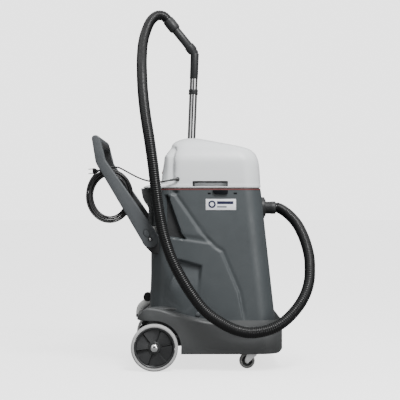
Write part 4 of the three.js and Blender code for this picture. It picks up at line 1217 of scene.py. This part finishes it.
def make_inlet():
    flange = closed_profile([(0.0292, 0.0145), (0.0478, 0.001), (0.0478, 0.0205), (0.0462, 0.0225),
                             (0.0405, 0.0232), (0.0385, 0.0242), (0.0385, 0.0262), (0.0375, 0.0272),
                             (0.0292, 0.0272)])
    ring = turned("inlet_ring", flange, Vector((0.3205, 0, INLET_Z)), FORWARD, "black", 96)
    place(ring, "root", "black_plastic", "inlet_flange")
    cuff = [(0, 0), (0.0275, 0), (0.0275, 0.0385), (0.0284, 0.0405), (0.0284, 0.058), (0.0274, 0.0608),
            (0.0255, 0.0622), (0, 0.0622)]
    sleeve = turned("inlet_sleeve", cuff, Vector((SLEEVE_X, 0, INLET_Z)), FORWARD, "black", 80)
    grip_ribs(sleeve)
    place(sleeve, "hose_cuff", "black_plastic", "inlet_cuff")


def grip_ribs(obj):
    """Shallow flutes round the wide part of a cuff."""
    for vertex in obj.data.vertices:
        if 0.0408 < vertex.co.x - SLEEVE_X < 0.0573:
            angle = math.atan2(vertex.co.y, vertex.co.z - INLET_Z)
            scale = 1 - 0.018 * (0.5 + 0.5 * math.cos(angle * 20))
            vertex.co.y *= scale
            vertex.co.z = INLET_Z + (vertex.co.z - INLET_Z) * scale


# ---------------------------------------------------------------- wand and its holder

def wand_point(z):
    """The point of the wand's axis at a height."""
    return WAND_FOOT + WAND_AXIS * ((z - WAND_FOOT.z) / WAND_AXIS.z)


def tube_between(name, low, high, outer, inner, material):
    """A round tube with small bevels at its ends."""
    along = high - low
    length = along.length
    edge = 0.0004
    profile = closed_profile([(inner, 0), (outer - edge, 0), (outer, edge), (outer, length - edge),
                              (outer - edge, length), (inner, length)])
    return turned(name, profile, low, along.normalized(), material)


def make_wand():
    lower = tube_between("wand_tube_lower", wand_point(0.292), wand_point(0.76), 0.018, 0.0168, "chrome")
    place(lower, "wand", "chrome", "wand_lower")
    upper = tube_between("wand_tube_upper", wand_point(0.7603), wand_point(1.2487), 0.0188, 0.0172, "chrome")
    place(upper, "wand", "chrome", "wand_upper")
    spigot = tube_between("bend_tube_end", wand_point(1.249), wand_point(1.3), 0.0184, 0.015, "chrome")
    place(spigot, "wand", "chrome", "bend_spigot")
    length = 0.024
    ring = closed_profile([(0.0191, 0), (0.0214, 0), (0.0221, 0.001), (0.0221, 0.0095), (0.0211, 0.0105),
                           (0.0211, 0.0135), (0.0221, 0.0145), (0.0221, length - 0.001), (0.0214, length),
                           (0.0191, length)])
    collar = turned("wand_ring", ring, wand_point(1.225), WAND_AXIS, "black")
    place(collar, "wand", "black_plastic", "wand_collar")


def make_bend():
    """The moulded bend: a straight grip to the elbow, a tube down from it, and a cuff for the hose."""
    radius = BEND_RADIUS
    length = (ELBOW - GRIP_TOP).length
    profile = [(0, 0.0003), (radius - 0.0006, 0.0003), (radius, 0.001), (radius, length),
               (radius * 0.8, length + 0.006), (0, length + 0.008)]
    grip = turned("bend_body", profile, GRIP_TOP, GRIP_AXIS, "black")
    foot = wand_point(1.301)
    length = (ELBOW - foot).length
    profile = [(0, 0), (radius - 0.0012, 0), (radius - 0.0005, 0.001), (radius, length), (0, length + 0.01)]
    boolean(grip, [turned("drop", profile, foot, WAND_AXIS, "black")], "UNION")
    bevel(grip, 0.0008, 2, 40)
    place(grip, "wand", "black_plastic", "bend_grip")
    length = (GRIP_TOP - CUFF_TOP).length
    cuff = [(0, 0), (0.0248, 0), (0.0264, 0.002), (0.0264, 0.012), (0.0272, 0.0135), (0.0272, length - 0.01),
            (0.0245, length - 0.0015), (0.0225, length), (0, length)]
    place(turned("bend_cuff", cuff, CUFF_TOP, CUFF_AXIS, "black"), "wand", "black_plastic", "wand_cuff")
    ring = closed_profile([(0.0201, 0), (0.0208, 0), (0.022, 0.0015), (0.022, 0.0305), (0.0212, 0.032),
                           (0.0201, 0.032)])
    slide = turned("air_slide", ring, ELBOW - GRIP_AXIS * 0.046, GRIP_AXIS, "black")
    bulge = (FORWARD - GRIP_AXIS * GRIP_AXIS.x).normalized()
    for vertex in slide.data.vertices:
        arm = vertex.co - ELBOW
        arm -= GRIP_AXIS * arm.dot(GRIP_AXIS)
        if arm.length > 0.0204:
            vertex.co += bulge * (0.002 * arm.normalized().dot(bulge))
    place(slide, "regulator", "black_plastic", "suction_regulator")


def tank_side():
    """A box as wide as the tank's flank, to cut what stands on it."""
    return box_mesh("face", (-0.3, -HOLDER_Y[0], 0.1), (0.4, HOLDER_Y[0], 0.8), "black")


def make_wand_holder():
    """A cup at the foot and a spring clip half way up, each on its own plate."""
    profile = [(0, 0), (0.025, 0), (0.026, 0.001), (0.026, 0.059), (0.025, 0.06), (0.019, 0.06),
               (0.019, 0.0057), (0, 0.0057)]
    cup = turned("wand_socket", profile, WAND_FOOT - WAND_AXIS * 0.006, WAND_AXIS, "black")
    boolean(cup, [tank_side()])
    place(cup, "root", "black_plastic", "wand_cup")
    tongue = side_box("wand_socket_plate", 1, (-0.038, 0.016), HOLDER_Y, (0.286, 0.34), "black")
    place(bevel(tongue, 0.002), "root", "black_plastic")
    centre = wand_point(0.6)
    clip = tube_between("wand_spring_clip", centre, centre + WAND_AXIS * 0.026, 0.023, 0.019, "black")
    mouth = box_mesh("mouth", (-0.06, WAND_Y + 0.006, 0.59), (0.06, WAND_Y + 0.06, 0.64), "black")
    boolean(clip, [mouth, tank_side()])
    place(bevel(clip, 0.0007, 2), "root", "black_plastic", "wand_clip")
    foot = side_box("wand_clip_plate", 1, (-0.024, 0.026), HOLDER_Y, (0.602, 0.624), "black")
    place(bevel(foot, 0.002), "root", "black_plastic")


# ---------------------------------------------------------------- drain hose

DRAIN_ROUTE = [
    (-0.214, 0, 0.214), (-0.214, 0, 0.226), (-0.209, 0, 0.243), (-0.195, 0, 0.258), (-0.177, 0, 0.271),
    (-0.16, 0, 0.29), (-0.15, 0, 0.318), (-0.147, 0, 0.36), (-0.147, 0, 0.45), (-0.147, 0, 0.52),
    (-0.147, 0, 0.586),
]


def make_drain():
    path = smooth_path(DRAIN_ROUTE, 0.004)
    place(swept("drain_tube", path, 0.019, "drain", 48), "root", "drain_rubber", "drain_hose")
    outlet = closed_profile([(0.014, 0), (0.019, 0), (0.0197, 0.001), (0.0197, 0.012), (0.019, 0.013),
                             (0.014, 0.013)])
    collar = turned("drain_collar", outlet, Vector((-0.214, 0, 0.2137)), -UP, "black")
    place(collar, "root", "black_plastic", "drain_outlet")
    roller = [(0, 0), (0.0175, 0), (0.019, 0.0015), (0.019, 0.0415), (0.0175, 0.043), (0, 0.043)]
    clip = turned("drain_saddle", roller, Vector((-0.181, -0.0215, 0.291)), RIGHT, "black")
    boolean(clip, [swept("room", path, 0.0193, "black", 48)])
    place(clip, "root", "black_plastic", "drain_clip")
    cap = [(0, 0), (0.0182, 0), (0.019, 0.001), (0.019, 0.0165), (0.018, 0.019), (0.012, 0.0205),
           (0.0115, 0.019), (0, 0.019)]
    plug = turned("drain_cap", cap, Vector((-0.147, 0, 0.5863)), UP, "drain")
    place(plug, "drain_plug", "drain_rubber", "drain_plug")


# ---------------------------------------------------------------- switches, gland, hook, axle and motors

def make_switches():
    panel = box_mesh("switch_plate", (-0.003, -0.062, 0), (0.0006, 0.062, 0.058), "black")
    bevel(panel, 0.0012)
    boolean(panel, rocker_windows("black"))
    panel.data.transform(PANEL_FRAME)
    place(panel, "head", "black_plastic", "switch_panel")
    outline = [(0.004, 0.0165), (0.004, 0.0435), (-0.0025, 0.0436), (-0.0043, 0.03), (-0.0068, 0.0164)]
    for name, y in ROCKERS:
        material = "red" if name == "left" else "black"
        rocker = side_plate(f"rocker_key_{name}", outline, y - 0.0105, y + 0.0105, material)
        bevel(rocker, 0.0008)
        rocker.data.transform(PANEL_FRAME)
        place(rocker, f"rocker_{name}", f"{material}_plastic", f"rocker_{name}")


def make_gland():
    seat = Vector((GLAND_X, -0.217, GLAND_Z))
    profile = [(0, 0), (0.0078, 0), (0.0086, 0.001), (0.0086, 0.016), (0, 0.016)]
    place(turned("gland_neck", profile, seat, RIGHT, "hose", 32), "head", "cord_rubber")
    away = Vector((-0.93, -0.33, -0.16)).normalized()
    sleeve = [(0, -0.003), (0.0058, -0.003), (0.0058, 0.003), (0.005, 0.007), (0.0044, 0.033),
              (0.0038, 0.034), (0, 0.034)]
    relief = turned("gland_sleeve", sleeve, Vector((GLAND_X, -0.221, GLAND_Z)), away, "cord", 32)
    place(relief, "head", "cord_rubber", "cord_gland")


def make_hook():
    profile = [(0, 0), (0.014, 0), (0.014, 0.004), (0.0095, 0.006), (0.009, 0.008), (0.009, 0.044),
               (0.01, 0.046), (0.018, 0.048), (0.018, 0.051), (0.017, 0.052), (0, 0.052)]
    peg = turned("cord_peg", profile, Vector((-0.325, -0.2027, 0.8105)), RIGHT, "black", 48)
    place(peg, "handle", "black_plastic", "cord_hook")


def make_axle():
    profile = [(0, 0), (0.0092, 0), (0.01, 0.0008), (0.01, 0.5172), (0.0092, 0.518), (0, 0.518)]
    axle = turned("axle_shaft", profile, Vector((WHEEL_X, -0.259, WHEEL_RADIUS)), RIGHT, "chrome", 48)
    place(axle, "root", "chrome", "rear_axle")


def make_inside():
    """What shows when the head is lifted: the base plate, the float in its cage and the motors above."""
    levels = ((0.7763, 0.0006), (0.7769, 0.0), (0.7799, 0.0), (0.7805, 0.0006))
    rings = [round_ring(z, -0.15 + d, 0.308 - d, 0.205 - d, 0.08, 0.072, 12, 8, 6) for z, d in levels]
    plate = skin("base_plate", rings, "black")
    boolean(plate, [rod("hole", 0.02, 0.02, Vector((x, 0, 0.77)), UP, "black", 48) for x in (0.03, 0.19)])
    place(plate, "head", "black_plastic", "head_base")
    profile = [(0, 0), (0.051, 0), (0.052, 0.001), (0.052, 0.11), (0.06, 0.1105), (0.06, 0.114),
               (0.047, 0.114), (0.047, 0.004), (0, 0.004)]
    centre = Vector((FLOAT_X, 0, CAGE_Z))
    cage = turned("float_basket", profile, centre, UP, "black", 72)
    slots = []
    for i in range(3):
        slot = box_mesh("slot", (-0.07, -0.014, 0.02), (0.07, 0.014, 0.09), "black")
        slot.data.transform(Matrix.Translation(centre) @ Matrix.Rotation(math.pi * i / 3, 4, "Z"))
        slots.append(slot)
    boolean(cage, slots)
    place(cage, "head", "black_plastic", "float_cage")
    radius = 0.024
    ball = [(radius * math.sin(math.pi * i / 24), -radius * math.cos(math.pi * i / 24)) for i in range(1, 24)]
    ball = [(0, -radius), *ball, (0, radius)]
    sphere = turned("float_ball", ball, Vector((FLOAT_X, 0, 0.69)), UP, "float", 48)
    place(sphere, "float", "float_plastic", "float")
    dress("motor", "motor_rear", "motor_front", "motor_fan_rear", "motor_fan_front")


make_tank()
make_chassis()
make_chassis_fittings()
make_head()
make_handle()
make_arm_fittings()
make_wheels()
make_castors()
make_tank_trim()
make_label()
make_latches()
make_inlet()
make_wand()
make_bend()
make_wand_holder()
make_drain()
make_switches()
make_gland()
make_hook()
make_axle()
make_inside()
